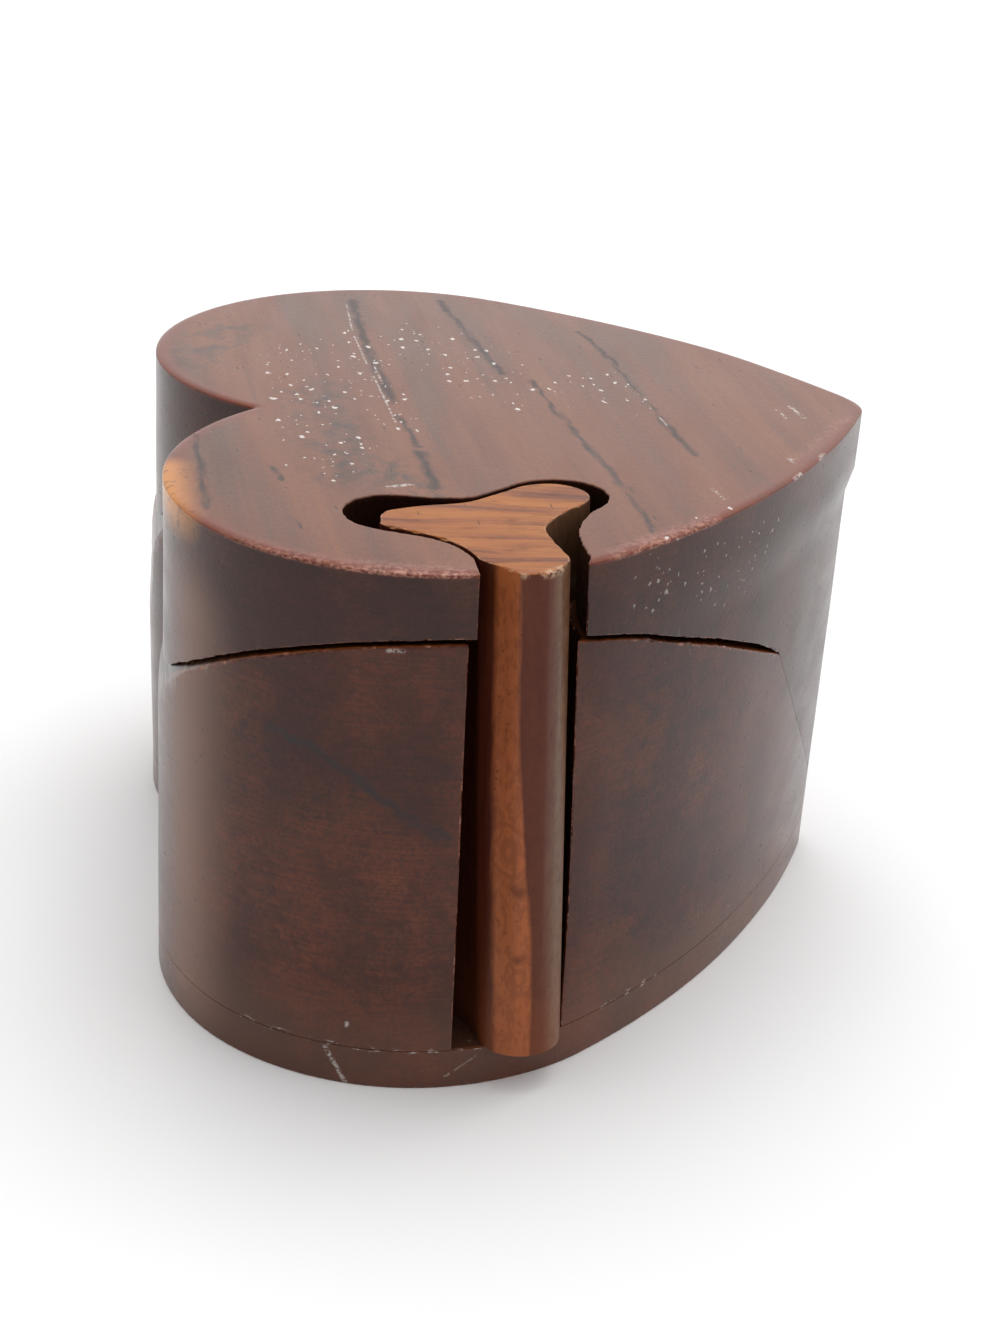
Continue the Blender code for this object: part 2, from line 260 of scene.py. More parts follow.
def heart(lobe_x=LOBE_X, tip_x=TIP_X, inset=0, tip_radius=TIP_RADIUS):
    """Closed heart outline, counter-clockwise from the cleft."""
    far = half_heart(lobe_x, tip_x, inset, tip_radius)
    far[0].y = 0
    far[-1].y = 0
    near = [Vector((p.x, -p.y, 0)) for p in far]
    outline = near + far[-2:0:-1]
    return outline if inset > 0 else [p + Vector((0, tip_skew(p.x), 0)) for p in outline]


def tip_skew(x):
    """How far the outer wall was sawn towards the far side, which grows towards the tip."""
    return TIP_SKEW * ease(x, TIP_SKEW_FROM, TIP_X)


def smooth_curve(knots, before_first, after_last, steps):
    """Catmull-Rom curve through the knots."""
    chain = [before_first] + knots + [after_last]
    points = []
    for before, start, end, after in zip(chain, chain[1:], chain[2:], chain[3:]):
        for i in range(steps):
            t = i / steps
            pull = (end - before) / 2
            push = (after - start) / 2
            blend = 2 * t ** 3 - 3 * t ** 2
            leaving = pull * (t ** 3 - 2 * t ** 2 + t)
            arriving = push * (t ** 3 - t ** 2)
            points.append(start * (blend + 1) + end * -blend + leaving + arriving)
    return points + [knots[-1].copy()]


def head_curve(finished):
    """The key's head from the neck's right side round to its left side, as sawn or as finished."""
    root = Vector((WING_ROOT_SHARES[0] * HEAD_SPAN, WING_ROOT_SHARES[1] * HEAD_REACH, 0))
    knots = []
    for across, inward, trim in HEAD_SHARES:
        knot = Vector((across * HEAD_SPAN, inward * HEAD_REACH, 0))
        knots.append(knot.lerp(root, trim) if finished else knot)
    right = Vector((NECK_WIDTH / 2, 0, 0))
    left = Vector((-NECK_WIDTH / 2, 0, 0))
    below = Vector((0, NOSE_LENGTH, 0))
    corner = Vector((KEY_X, NECK_Y, 0))
    curve = smooth_curve([right] + knots + [left], right - below, left - below, HEAD_STEPS)
    return [p + corner for p in curve]


def key_outline(rounding):
    """Plan of the finished key, counter-clockwise from the left end of its nose, which can be rounded."""
    nose = []
    for start, end in zip(NOSE_SHARES, NOSE_SHARES[1:] + [(1.0, 0.0)]):
        for i in range(NOSE_STEPS):
            across = start[0] + (end[0] - start[0]) * i / NOSE_STEPS
            outward = start[1] + (end[1] - start[1]) * i / NOSE_STEPS
            outward += (sqrt(1 - across ** 2) - outward) * rounding
            nose.append(Vector((KEY_X + across * NECK_WIDTH / 2, NECK_Y - outward * NOSE_LENGTH, 0)))
    return nose + head_curve(True)[:-1]


def ripple(point, depth):
    """How far the saw wandered at a place."""
    return depth * noise.noise(point / SAW_PITCH)


def beside(chain, distance, axis=UP, wander=0.0):
    """The line moved to its right, with the saw's ripple, without its chain's first and last points."""
    moved = []
    for before, point, after in zip(chain, chain[1:], chain[2:]):
        outward = (after - before).normalized().cross(axis)
        moved.append(point + outward * (distance + ripple(point, wander)))
    return moved


def slot_outline(widened_by=0.0):
    """Plan of the slot: the key as sawn, with the saw's clearance and ripple, narrowed at the wall."""
    curve = head_curve(False)
    nose = Vector((0, NOSE_LENGTH, 0))
    edge = beside([curve[0] - nose] + curve + [curve[-1] - nose], SLOT_GAP + widened_by, UP, SLOT_RIPPLE)
    mouth = NOSE_Y - OVERRUN
    right = edge[0].x - MOUTH_TAPER
    lip = Vector((right, NOSE_Y + NOSE_PROUD, 0))
    return [Vector((edge[-1].x, mouth, 0)), Vector((right, mouth, 0)), lip] + edge


def leaning(outline, z, across, outward=0.0):
    """The outline moved by its share of a lean: nothing at the box's top, whole at z = 0."""
    share = 1 - z / BOX_HEIGHT
    return [p + Vector((across, -outward, 0)) * share for p in outline]


def leaning_slot(z, widened_by=0.0):
    """The slot's outline at one height: its left wall is upright, its right wall leans with the key."""
    outline = slot_outline(widened_by)
    leant = leaning(outline, z, SLOT_LEAN, KEY_LEAN_OUT)
    shares = [(p.x - KEY_X) / NECK_WIDTH + 0.5 for p in outline]
    return [p.lerp(q, min(max(share, 0), 1)) for p, q, share in zip(outline, leant, shares)]


def wall(outline, z):
    """The sawn outer wall's outline at one height."""
    return leaning(outline, z, -WALL_LEAN)


def ease(value, none, full):
    """0 where the value is at none, 1 where it is at full, smooth between."""
    share = min(max((value - none) / (full - none), 0), 1)
    return share * share * (3 - 2 * share)


def block_wall(outline, z):
    """The block's outer wall at one height: its far lobe stands upright where the rest leans."""
    lean = WALL_LEAN * (1 - z / BOX_HEIGHT)
    extra = FAR_LOBE_OUT - lean
    moved = []
    for p in outline:
        share = ease(p.y, *FAR_LOBE_ACROSS) * ease(p.x, *FAR_LOBE_ALONG)
        moved.append(p - Vector((lean + extra * share, 0, 0)))
    return moved


def worn_tip(p):
    """A point of the lid's rim, which is rubbed round at the tip's far corner."""
    return p - Vector((*TIP_WORN, 0)) * ease(p.x, *TIP_WORN_ALONG) * ease(p.y, *TIP_WORN_ACROSS)


# Solids

def place(bm, outline, z):
    """A closed loop of edges at one height."""
    verts = [bm.verts.new((p.x, p.y, z)) for p in outline]
    return [bm.edges.new((verts[i - 1], verts[i])) for i in range(len(verts))]


def solid_from_rings(rings):
    """A closed solid through (outline, height) rings, all with as many points."""
    bm = bmesh.new()
    loops = [place(bm, outline, z) for outline, z in rings]
    for lower, upper in zip(loops, loops[1:]):
        bmesh.ops.bridge_loops(bm, edges=lower + upper)
    for loop in (loops[0], loops[-1]):
        bmesh.ops.contextual_create(bm, geom=loop)
    bmesh.ops.recalc_face_normals(bm, faces=bm.faces)
    return bm


def rings_between(outline_at, low, high, count):
    """Rings of one outline function at even heights."""
    heights = [low + (high - low) * i / count for i in range(count + 1)]
    return [(outline_at(z), z) for z in heights]


def hand_sanded(bm):
    """Waves that sanding leaves in the outer wall; one place moves alike on every piece."""
    for vert in bm.verts:
        at = vert.co / SANDING_PITCH
        vert.co.x += SANDING_WAVE * noise.noise(at)
        vert.co.y += SANDING_WAVE * noise.noise(at + SECOND_WAVE)
    return bm


def slab_along_y(profile):
    """A prism across the whole box from an outline in X and Z."""
    reach = HEART_WIDTH / 2 + NOSE_PROUD + OVERRUN
    bm = bmesh.new()
    face = bm.faces.new([bm.verts.new((p.x, -reach, p.z)) for p in profile])
    made = bmesh.ops.extrude_face_region(bm, geom=[face])["geom"]
    far_side = [g for g in made if isinstance(g, bmesh.types.BMVert)]
    bmesh.ops.translate(bm, vec=(0, 2 * reach, 0), verts=far_side)
    bmesh.ops.recalc_face_normals(bm, faces=bm.faces)
    return bm


def arch_line():
    """The saw cut in X and Z: its arched stretch, and the straight one under the wedge."""
    knots = [Vector((across * TIP_X, 0, up * ARCH_TOP)) for across, up in ARCH_SHARES]
    foot = Vector((WEDGE_FOOT_SHARES[0] * TIP_X, 0, WEDGE_FOOT_SHARES[1] * ARCH_TOP))
    arched = smooth_curve(knots, knots[0] * 2 - knots[1], knots[-1] * 2 - knots[-2], ARCH_STEPS)
    end = foot + (foot - knots[-1]).normalized() * OVERRUN
    return arched, [arched[-1].lerp(end, (i + 1) / WEDGE_STEPS) for i in range(WEDGE_STEPS)]


def above_arch(drop):
    """What lies above the arch as the saw left it, lowered by a drop."""
    arched, wedge = arch_line()
    line = arched + wedge
    line = beside([line[0] * 2 - line[1]] + line + [line[-1] * 2 - line[-2]], 0, NEARWARD, ARCH_RIPPLE)
    ceiling = BOX_HEIGHT + OVERRUN
    feet = [(line[-1].x, -OVERRUN), (HEART_LENGTH, -OVERRUN), (HEART_LENGTH, ceiling)]
    feet += [(-HEART_LENGTH, ceiling), (-HEART_LENGTH, -OVERRUN), (line[0].x, -OVERRUN)]
    bm = slab_along_y(line + [Vector((x, 0, z)) for x, z in feet])
    bmesh.ops.translate(bm, vec=(0, 0, -drop), verts=bm.verts)
    return bm


def under_lid():
    """What lies below the lid: the slit, which opens to a full kerf and tapers, then the close wedge."""
    arched, wedge = arch_line()
    chain = [arched[0] * 2 - arched[1]] + arched + wedge[:1]
    narrow = beside(chain, -SLIT_START, NEARWARD, ARCH_RIPPLE)
    wide = beside(chain, -SAW_KERF, NEARWARD, ARCH_RIPPLE)
    closed = beside(chain, -SEAT_GAP, NEARWARD, ARCH_RIPPLE)
    line = []
    for i, (near, far, shut) in enumerate(zip(narrow, wide, closed)):
        taper = min((len(wide) - 1 - i) / SLIT_TAPER_STEPS, 1)
        line.append(shut.lerp(near.lerp(far, i / (len(wide) - 1)), taper))
    chain = [arched[-2], arched[-1]] + wedge + [wedge[-1] * 2 - wedge[-2]]
    line += beside(chain, -SEAT_GAP, NEARWARD, ARCH_RIPPLE)
    return slab_along_y(line + [Vector((line[-1].x, 0, -OVERRUN)), Vector((line[0].x, 0, -OVERRUN))])


def slot_solid(shift=0.0):
    """The key's slot as a cutter taller than the box, flared by an arris at the lid's top."""
    heights = [
        (-OVERRUN, 0),
        (BOX_HEIGHT - ARRIS, 0),
        (BOX_HEIGHT - ARRIS / 3, ARRIS / 3),
        (BOX_HEIGHT, ARRIS),
        (BOX_HEIGHT + OVERRUN, ARRIS),
    ]
    bm = solid_from_rings([(leaning_slot(z, wider), z) for z, wider in heights])
    bmesh.ops.translate(bm, vec=(shift, 0, 0), verts=bm.verts)
    return bm


def cavity(inset, low, high):
    """The cavity, drawn in by an inset: the heart's own curves behind a straight wall at the slot."""
    outline = heart(inset=WALL_THICKNESS + inset, tip_radius=CAVITY_TIP_RADIUS)
    bm = solid_from_rings([(outline, low), (outline, high)])
    chord = CHORD_Y + inset
    geometry = bm.verts[:] + bm.edges[:] + bm.faces[:]
    sliced = bmesh.ops.bisect_plane(
        bm, geom=geometry, dist=SAME_PLACE, plane_co=(0, chord, 0), plane_no=(0, -1, 0), clear_outer=True
    )
    rim = [g for g in sliced["geom_cut"] if isinstance(g, bmesh.types.BMEdge)]
    bmesh.ops.contextual_create(bm, geom=rim)
    on_chord = [e for e in bm.edges if all(abs(v.co.y - chord) < SAME_PLACE for v in e.verts)]
    corners = [e for e in on_chord if abs(e.verts[0].co.z - e.verts[1].co.z) > SAME_PLACE]
    bmesh.ops.bevel(
        bm,
        geom=corners,
        offset=CAVITY_CORNER,
        segments=CORNER_STEPS,
        profile=0.5,
        affect="EDGES",
        material=-1,
    )
    bmesh.ops.recalc_face_normals(bm, faces=bm.faces)
    return bm


def loose_object(name, bm):
    """A mesh object that holds a bmesh's shape."""
    mesh = bpy.data.meshes.new(name)
    bm.to_mesh(mesh)
    bm.free()
    made = bpy.data.objects.new(name, mesh)
    bpy.context.scene.collection.objects.link(made)
    return made


def carved(bm, *cutters):
    """The solid with the cutters taken out of it, as a new bmesh."""
    target = loose_object("blank", bm)
    tools = [loose_object("cutter", cutter) for cutter in cutters]
    for tool in tools:
        step = target.modifiers.new("cut", "BOOLEAN")
        step.operation = "DIFFERENCE"
        step.solver = "EXACT"
        step.object = tool
    shaped = target.evaluated_get(bpy.context.evaluated_depsgraph_get())
    result = bmesh.new()
    result.from_mesh(shaped.to_mesh())
    shaped.to_mesh_clear()
    for used in [target] + tools:
        mesh = used.data
        bpy.data.objects.remove(used)
        bpy.data.meshes.remove(mesh)
    bmesh.ops.remove_doubles(result, verts=result.verts, dist=SAME_PLACE)
    bmesh.ops.dissolve_degenerate(result, dist=SAME_PLACE, edges=result.edges)
    return result


def joined(edge):
    """Whether an edge lies along the floor board's joint or the wedge's hairline, which stay closed."""
    middle = (edge.verts[0].co + edge.verts[1].co) / 2
    at_board = abs(middle.z - SLAB_THICKNESS) < 3 * GLUE_LINE
    slit_end = Vector((ARCH_SHARES[-1][0] * TIP_X, 0, ARCH_SHARES[-1][1] * ARCH_TOP))
    at_wedge = middle.x > slit_end.x and middle.z < slit_end.z
    return at_board or at_wedge and middle.z > SLAB_THICKNESS


def ease_arrises(bm, width=ARRIS, chips=CHIP_DEPTH):
    """Rounds every sharp edge a little, bites small chips out of it, and marks what is worn."""
    worn = bm.faces.layers.float.new("arris")
    chipped = bm.faces.layers.float.new("chipped")
    sharp = [e for e in bm.edges if e.is_manifold and e.calc_face_angle(0) > SHARP and not joined(e)]
    strips = bmesh.ops.bevel(
        bm, geom=sharp, offset=width, segments=ARRIS_STEPS, profile=0.5, affect="EDGES", material=-1
    )
    bm.normal_update()
    arrises = set(strips["faces"])
    for vert in {v for face in strips["faces"] for v in face.verts}:
        bite = noise.noise(vert.co / CHIP_PITCH) - CHIP_FROM
        if bite > 0 and arrises.issuperset(vert.link_faces):
            vert.co -= vert.normal * min(bite * chips, width)
            for face in vert.link_faces:
                face[chipped] = 1
    for face in strips["faces"]:
        face[worn] = 1
    return bm


def cut_up(bm, pitches):
    """Cuts a piece's faces at even steps along the axes that have a pitch, so that a nap can be raised."""
    for axis, pitch in enumerate(pitches):
        if pitch is None:
            continue
        across = Vector((axis == 0, axis == 1, axis == 2))
        low = min(v.co[axis] for v in bm.verts)
        high = max(v.co[axis] for v in bm.verts)
        for i in range(1, int((high - low) / pitch)):
            geometry = bm.verts[:] + bm.edges[:] + bm.faces[:]
            bmesh.ops.bisect_plane(
                bm, geom=geometry, dist=SAME_PLACE, plane_co=across * (low + i * pitch), plane_no=across
            )
    return bm


def napped(bm):
    """Felt's uneven face: each point moved a little along its normal."""
    bm.normal_update()
    for vert in bm.verts:
        vert.co += vert.normal * NAP_DEPTH * noise.noise(vert.co / NAP_LUMP)
    return bm


def finished(name, bm, body, slot, finish):
    """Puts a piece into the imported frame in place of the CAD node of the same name."""
    bmesh.ops.translate(bm, vec=DRAWN_TO_FRAME, verts=bm.verts)
    piece = loose_object(name + "_shown", bm)
    piece.data.materials.append(finish)
    piece.data.shade_smooth()
    piece.data.set_sharp_from_angle(angle=SMOOTH_BELOW)
    even = piece.modifiers.new("even_normals", "WEIGHTED_NORMAL")
    even.keep_sharp = True
    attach(piece, body)
    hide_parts(name)
    return piece


# Pieces

def make_base_slab(finish):
    """The glued floor board."""
    outline = heart()
    bm = solid_from_rings(rings_between(lambda z: wall(outline, z), 0, SLAB_THICKNESS, SLAB_RINGS))
    return finished("base_slab", ease_arrises(hand_sanded(bm), chips=0.0), "box", "body_wood", finish)


def make_body(finish):
    """The block: heart outline, arched top, cavity and key slot."""
    outline = heart()
    low = SLAB_THICKNESS + GLUE_LINE
    block = solid_from_rings(rings_between(lambda z: block_wall(outline, z), low, BOX_HEIGHT, WALL_RINGS))
    hollow = cavity(0, -OVERRUN, BOX_HEIGHT + OVERRUN)
    bm = carved(hand_sanded(block), above_arch(0), hollow, slot_solid())
    return finished("body", ease_arrises(bm), "box", "body_wood", finish)


def make_lid(finish):
    """The lid: a rounded rim that overhangs the tip, a skirt that is flush there, an arched underside."""
    rim = [worn_tip(p) for p in heart(lobe_x=LOBE_X + LOBE_SHIFT, tip_x=TIP_X + LID_SHIFT)]
    pushed = heart(lobe_x=LOBE_X + LOBE_SHIFT)
    skirt = [p.lerp(q, ease(q.x, *SKIRT_FLUSH)) for p, q in zip(pushed, heart())]
    lip = BOX_HEIGHT - LIP_DEPTH
    rings = rings_between(lambda z: wall(skirt, z), SLAB_THICKNESS, lip - LIP_BLEND, WALL_RINGS)
    rings += rings_between(lambda z: wall(rim, z), lip, BOX_HEIGHT, RIM_RINGS)
    block = hand_sanded(solid_from_rings(rings))
    top = [e for e in block.edges if all(abs(v.co.z - BOX_HEIGHT) < SAME_PLACE for v in e.verts)]
    bmesh.ops.bevel(
        block, geom=top, offset=RIM_ROUND, segments=RIM_STEPS, profile=0.5, affect="EDGES", material=-1
    )
    rounded = [v for v in block.verts if v.co.z > BOX_HEIGHT - RIM_ROUND - SAME_PLACE]
    from_top = Matrix.Translation((0, 0, -BOX_HEIGHT))
    bmesh.ops.scale(block, vec=(1, 1, RIM_FLATTENED), space=from_top, verts=rounded)
    bm = carved(block, under_lid(), slot_solid(LID_SHIFT))
    return finished("lid", ease_arrises(bm), "lid", "lid_wood", finish)


def make_key(finish):
    """The key, leaning in its slot, level with the lid's top and round at its foot."""
    def ring(z):
        return leaning(key_outline(ease(z, FOOT_ROUND_FROM, SLAB_THICKNESS)), z, KEY_LEAN, KEY_LEAN_OUT)

    bm = solid_from_rings(rings_between(ring, SLAB_THICKNESS + GLUE_LINE, BOX_HEIGHT, KEY_RINGS_UP))
    return finished("key", ease_arrises(bm, KEY_ARRIS, KEY_CHIP_DEPTH), "key", "key_wood", finish)


def make_floor_felt(finish):
    """The felt pad on the cavity's floor."""
    floor = SLAB_THICKNESS + FELT_CLEARANCE
    bm = cavity(FELT_THICKNESS + 2 * FELT_CLEARANCE, floor, floor + FELT_THICKNESS)
    bm = napped(cut_up(ease_arrises(bm, chips=0.0), (NAP_PITCH, NAP_PITCH, None)))
    pad = finished("floor_felt", bm, "box", "felt", finish)


def make_wall_felt(finish):
    """The felt strip round the cavity's wall, set back below the arch."""
    bm = cavity(FELT_CLEARANCE, SLAB_THICKNESS + FELT_CLEARANCE, BOX_HEIGHT)
    inner = cavity(FELT_CLEARANCE + FELT_THICKNESS, -OVERRUN, BOX_HEIGHT + OVERRUN)
    bm = carved(bm, inner, above_arch(FELT_SETBACK))
    bm = napped(cut_up(ease_arrises(bm, chips=0.0), (None, None, 2 * NAP_PITCH)))
    strip = finished("wall_felt", bm, "box", "felt", finish)


# Node building

def node(tree, kind, feeds=None, **settings):
    """Places a node; feeds gives each input a value or another node's output."""
    made = tree.nodes.new("ShaderNode" + kind)
    for name, value in settings.items():
        setattr(made, name, value)
    for key, value in (feeds or {}).items():
        if isinstance(value, bpy.types.NodeSocket):
            tree.links.new(value, made.inputs[key])
        else:
            made.inputs[key].default_value = value
    return made


def maths(tree, operation, *values, clamp=False):
    """A Math node's result."""
    feeds = dict(enumerate(values))
    return node(tree, "Math", feeds, operation=operation, use_clamp=clamp).outputs[0]


def times(tree, first, second, clamp=False):
    """Two values multiplied."""
    return maths(tree, "MULTIPLY", first, second, clamp=clamp)


def plus(tree, first, second, clamp=False):
    """Two values added."""
    return maths(tree, "ADD", first, second, clamp=clamp)


def minus(tree, first, second):
    """The first value less the second."""
    return maths(tree, "SUBTRACT", first, second)


def larger(tree, first, second):
    """The larger of two values."""
    return maths(tree, "MAXIMUM", first, second)


def vector_maths(tree, operation, *values):
    """A Vector Math node."""
    return node(tree, "VectorMath", dict(enumerate(values)), operation=operation)


def stretched(tree, vector, factor):
    """A vector made longer by a factor."""
    return node(tree, "VectorMath", {0: vector, "Scale": factor}, operation="SCALE").outputs[0]


def axes_of(tree, vector):
    """A vector's X, Y and Z."""
    return node(tree, "SeparateXYZ", {0: vector}).outputs


def fade(tree, value, full, none):
    """1 where the value is at full, 0 where it is at none, smooth between."""
    feeds = {"Value": value, "From Min": full, "From Max": none, "To Min": 1.0, "To Max": 0.0}
    return node(tree, "MapRange", feeds, interpolation_type="SMOOTHSTEP").outputs["Result"]


def mixed(tree, share, first, second):
    """Two colours mixed by a share."""
    feeds = {0: share, 6: first, 7: second}
    feeds = {key: (*value, 1) if isinstance(value, tuple) else value for key, value in feeds.items()}
    return node(tree, "Mix", feeds, data_type="RGBA").outputs[2]


def laid_over(tree, under, over, mask, strength):
    """A colour laid over another where a mask is, as strongly as told."""
    return mixed(tree, times(tree, mask, strength), under, over)


def noise_of(tree, vector, pattern):
    """Both outputs of noise, as one of the noise patterns says."""
    sizes, detail, roughness = pattern
    laid = vector_maths(tree, "DIVIDE", vector, sizes).outputs[0]
    feeds = {"Vector": laid, "Scale": 1.0, "Detail": detail, "Roughness": roughness}
    return node(tree, "TexNoise", feeds).outputs


def grain_noise(tree, vector, pattern):
    """Noise from 0 to 1."""
    return noise_of(tree, vector, pattern)["Fac"]


def wandering(tree, place_at, pattern, reach):
    """The place moved about a little, so that what is laid there gets ragged edges."""
    tossed = noise_of(tree, place_at, pattern)["Color"]
    tossed = vector_maths(tree, "SUBTRACT", tossed, (0.5, 0.5, 0.5)).outputs[0]
    return vector_maths(tree, "ADD", place_at, stretched(tree, tossed, reach)).outputs[0]


def ramp(tree, value, stops):
    """A colour ramp through (place, colour) stops."""
    made = node(tree, "ValToRGB", {"Fac": value})
    points = made.color_ramp.elements
    while len(points) < len(stops):
        points.new(1.0)
    for point, (at, colour) in zip(points, stops):
        point.position = at
        point.color = (*colour, 1)
    return made.outputs["Color"]


def new_group(name, place_name="Place", **numbers):
    """A node group that takes a place, unless that has no name, and numbers with their defaults."""
    tree = bpy.data.node_groups.new(name, "ShaderNodeTree")
    if place_name:
        tree.interface.new_socket(place_name, in_out="INPUT", socket_type="NodeSocketVector")
    for label, default in numbers.items():
        socket = tree.interface.new_socket(label, in_out="INPUT", socket_type="NodeSocketFloat")
        socket.default_value = default
    return tree, tree.nodes.new("NodeGroupInput").outputs


def giving(tree, kind="Float", **results):
    """The node group, closed with what it gives: numbers, or vectors where the kind says so."""
    for label in results:
        tree.interface.new_socket(label, in_out="OUTPUT", socket_type="NodeSocket" + kind)
    ends = tree.nodes.new("NodeGroupOutput").inputs
    for label, value in results.items():
        tree.links.new(value, ends[label])
    return tree


def use(tree, group, feeds):
    """Places a node group; gives its outputs."""
    return node(tree, "Group", feeds, node_tree=group).outputs


# Noise patterns: sizes in mm along X, Y and Z, detail, roughness

LAYER_SWAY = ((16.0, 45.0, 16.0), 2.0, 0.5)
BROAD_BANDS = ((8.0, 70.0, 26.0), 2.0, 0.5)
FINE_LINES = ((1.1, 34.0, 9.0), 3.0, 0.62)
MINERAL_STREAKS = ((2.6, 60.0, 14.0), 2.0, 0.55)
PATCHY_LINES = ((0.8, 9.0, 5.0), 3.0, 0.6)
WALL_CLOUDS = ((8.0, 12.0, 11.0), 3.0, 0.6)
RAGGED_PATCHES = ((2.0, 3.0, 2.0), 4.0, 0.65)
SPECKLE = ((0.42, 0.9, 0.42), 3.0, 0.7)
SATIN_PATCHES = ((3.0, 14.0, 3.0), 3.0, 0.5)
SANDING_MARKS = ((6.0, 6.0, 0.2), 2.0, 0.5)
SANDING_RELIEF = ((7.0, 7.0, 0.14), 2.0, 0.5)
ORANGE_PEEL = ((0.5, 0.9, 0.5), 2.0, 0.5)
RUBBED_PATCHES = ((0.9, 0.9, 0.9), 4.0, 0.7)
CRUMBLY = ((0.5, 0.5, 0.5), 3.0, 0.7)
GLUE_SPECKS = ((1.6, 1.6, 0.5), 4.0, 0.7)
RAGGED_RIM = ((1.2, 1.2, 1.2), 4.0, 0.7)
RIM_CRUMBS = ((0.55, 0.55, 0.30), 4.0, 0.72)
KEY_SWAY = ((12.0, 6.0, 18.0), 1.0, 0.5)
KEY_BANDS = ((22.0, 2.6, 30.0), 2.0, 0.5)
KEY_LINES = ((11.0, 0.42, 22.0), 2.0, 0.6)
KEY_SMEARS = ((1.0, 1.0, 7.0), 3.0, 0.5)
KEY_CLOUDS = ((4.0, 1.6, 2.6), 4.0, 0.65)
KEY_BLOTCHES = ((0.7, 0.7, 1.3), 3.0, 0.7)
FELT_CLOUDS = ((5.0, 5.0, 5.0), 3.0, 0.5)
FELT_FIBRES = ((0.22, 0.22, 0.22), 4.0, 0.75)
LINE_WANDER = ((1.6, 4.0, 2.4), 3.0, 0.6)
FLECK_WANDER = ((0.6, 0.9, 0.6), 3.0, 0.6)
KEY_WANDER = ((1.6, 1.6, 1.2), 3.0, 0.6)

# How strongly each mark shows where it is whole; glow is painted light, pale side a painted highlight,
# sawn partly painted shade, and the block's and lid's rubbed arrises partly a painted highlight
SHOWS = {
    "glow": 0.6,
    "shade": 0.8,
    "sanding": 0.30,
    "speckle": 0.46,
    "speckle less on top": 0.26,
    "specks lit": 0.3,
    "pale side": 0.6,
    "placed lines": 0.85,
    "streaks": 0.16,
    "pores on top": 0.45,
    "pores in walls": 0.5,
    "pits in walls": 0.6,
    "sawn": 0.8,
    "block rubbed and highlit": 0.45,
    "lid rubbed and highlit": 0.4,
    "key rubbed": 0.3,
    "chipped": 0.35,
    "pale foot": 0.25,
    "glue": 0.75,
    "scratches": 0.55,
    "rim red": 0.85,
    "rim chips": 0.8,
    "dashes": 0.6,
    "flecks": 0.30,
    "flecks more on top": 0.50,
    "key grain lines": 0.5,
    "key sides": 0.88,
    "key clouds": 0.4,
    "key pores": 0.55,
    "key rings": 0.3,
    "key spots": 0.7,
    "key blotches": 0.34,
    "key foot": 0.22,
    "felt clouds": 0.4,
}


# Shared effects

GROWTH_SLOPE = 1.8
GROWTH_DRIFT = 0.045
BROAD_SHARE = 0.72
CLOUD_SHARE = 0.75


def growth_group():
    """Place across the growth layers, along the fibres and along the layers, from a place in mm."""
    tree, given = new_group("growth_layers", Wobble=0.8)
    axes = axes_of(tree, given["Place"])
    sway = grain_noise(tree, given["Place"], LAYER_SWAY)
    sway = times(tree, minus(tree, sway, 0.5), given["Wobble"])
    drop = times(tree, minus(tree, axes["Z"], BOX_HEIGHT / MM), GROWTH_SLOPE)
    across = plus(tree, axes["X"], times(tree, axes["Y"], GROWTH_DRIFT))
    across = plus(tree, plus(tree, across, drop), sway)
    along = minus(tree, axes["Z"], maths(tree, "DIVIDE", axes["X"], GROWTH_SLOPE))
    made = node(tree, "CombineXYZ", {"X": across, "Y": axes["Y"], "Z": along})
    return giving(tree, "Vector", Growth=made.outputs[0])


def figure_group():
    """The wood's figure, each from 0 to 1: broad bands, fine lines and dark mineral streaks."""
    tree, given = new_group("wood_figure", "Growth")
    broad = fade(tree, grain_noise(tree, given["Growth"], BROAD_BANDS), 0.68, 0.32)
    fine = fade(tree, grain_noise(tree, given["Growth"], FINE_LINES), 0.72, 0.28)
    streaks = fade(tree, grain_noise(tree, given["Growth"], MINERAL_STREAKS), 0.28, 0.42)
    return giving(tree, Broad=broad, Fine=fine, Streaks=streaks)


def dots_in_cells(tree, cells, share, least, spread, core):
    """A soft dot in a share of the cells, each with its own reach, and solid to a part of that reach."""
    chance = node(tree, "SeparateColor", {0: cells["Color"]}).outputs
    kept = maths(tree, "LESS_THAN", chance["Red"], share)
    reach = plus(tree, times(tree, chance["Green"], spread), least)
    feeds = {"Value": cells["Distance"], "From Min": reach, "From Max": times(tree, reach, core)}
    dot = node(tree, "MapRange", feeds, interpolation_type="SMOOTHSTEP").outputs["Result"]
    return times(tree, dot, kept)


def pores_group():
    """Open pores: short lines along the fibres, which end grain shows as dots."""
    tree, given = new_group("wood_pores", Width=0.6, Length=3.0, Share=0.5)
    size = node(tree, "CombineXYZ", {"X": given["Width"], "Y": given["Length"], "Z": given["Width"]})
    laid = vector_maths(tree, "DIVIDE", given["Place"], size.outputs[0]).outputs[0]
    cells = node(tree, "TexVoronoi", {"Vector": laid, "Scale": 1.0}, feature="F1").outputs
    pores = dots_in_cells(tree, cells, given["Share"], least=0.10, spread=0.14, core=0.4)
    return giving(tree, Pores=pores)


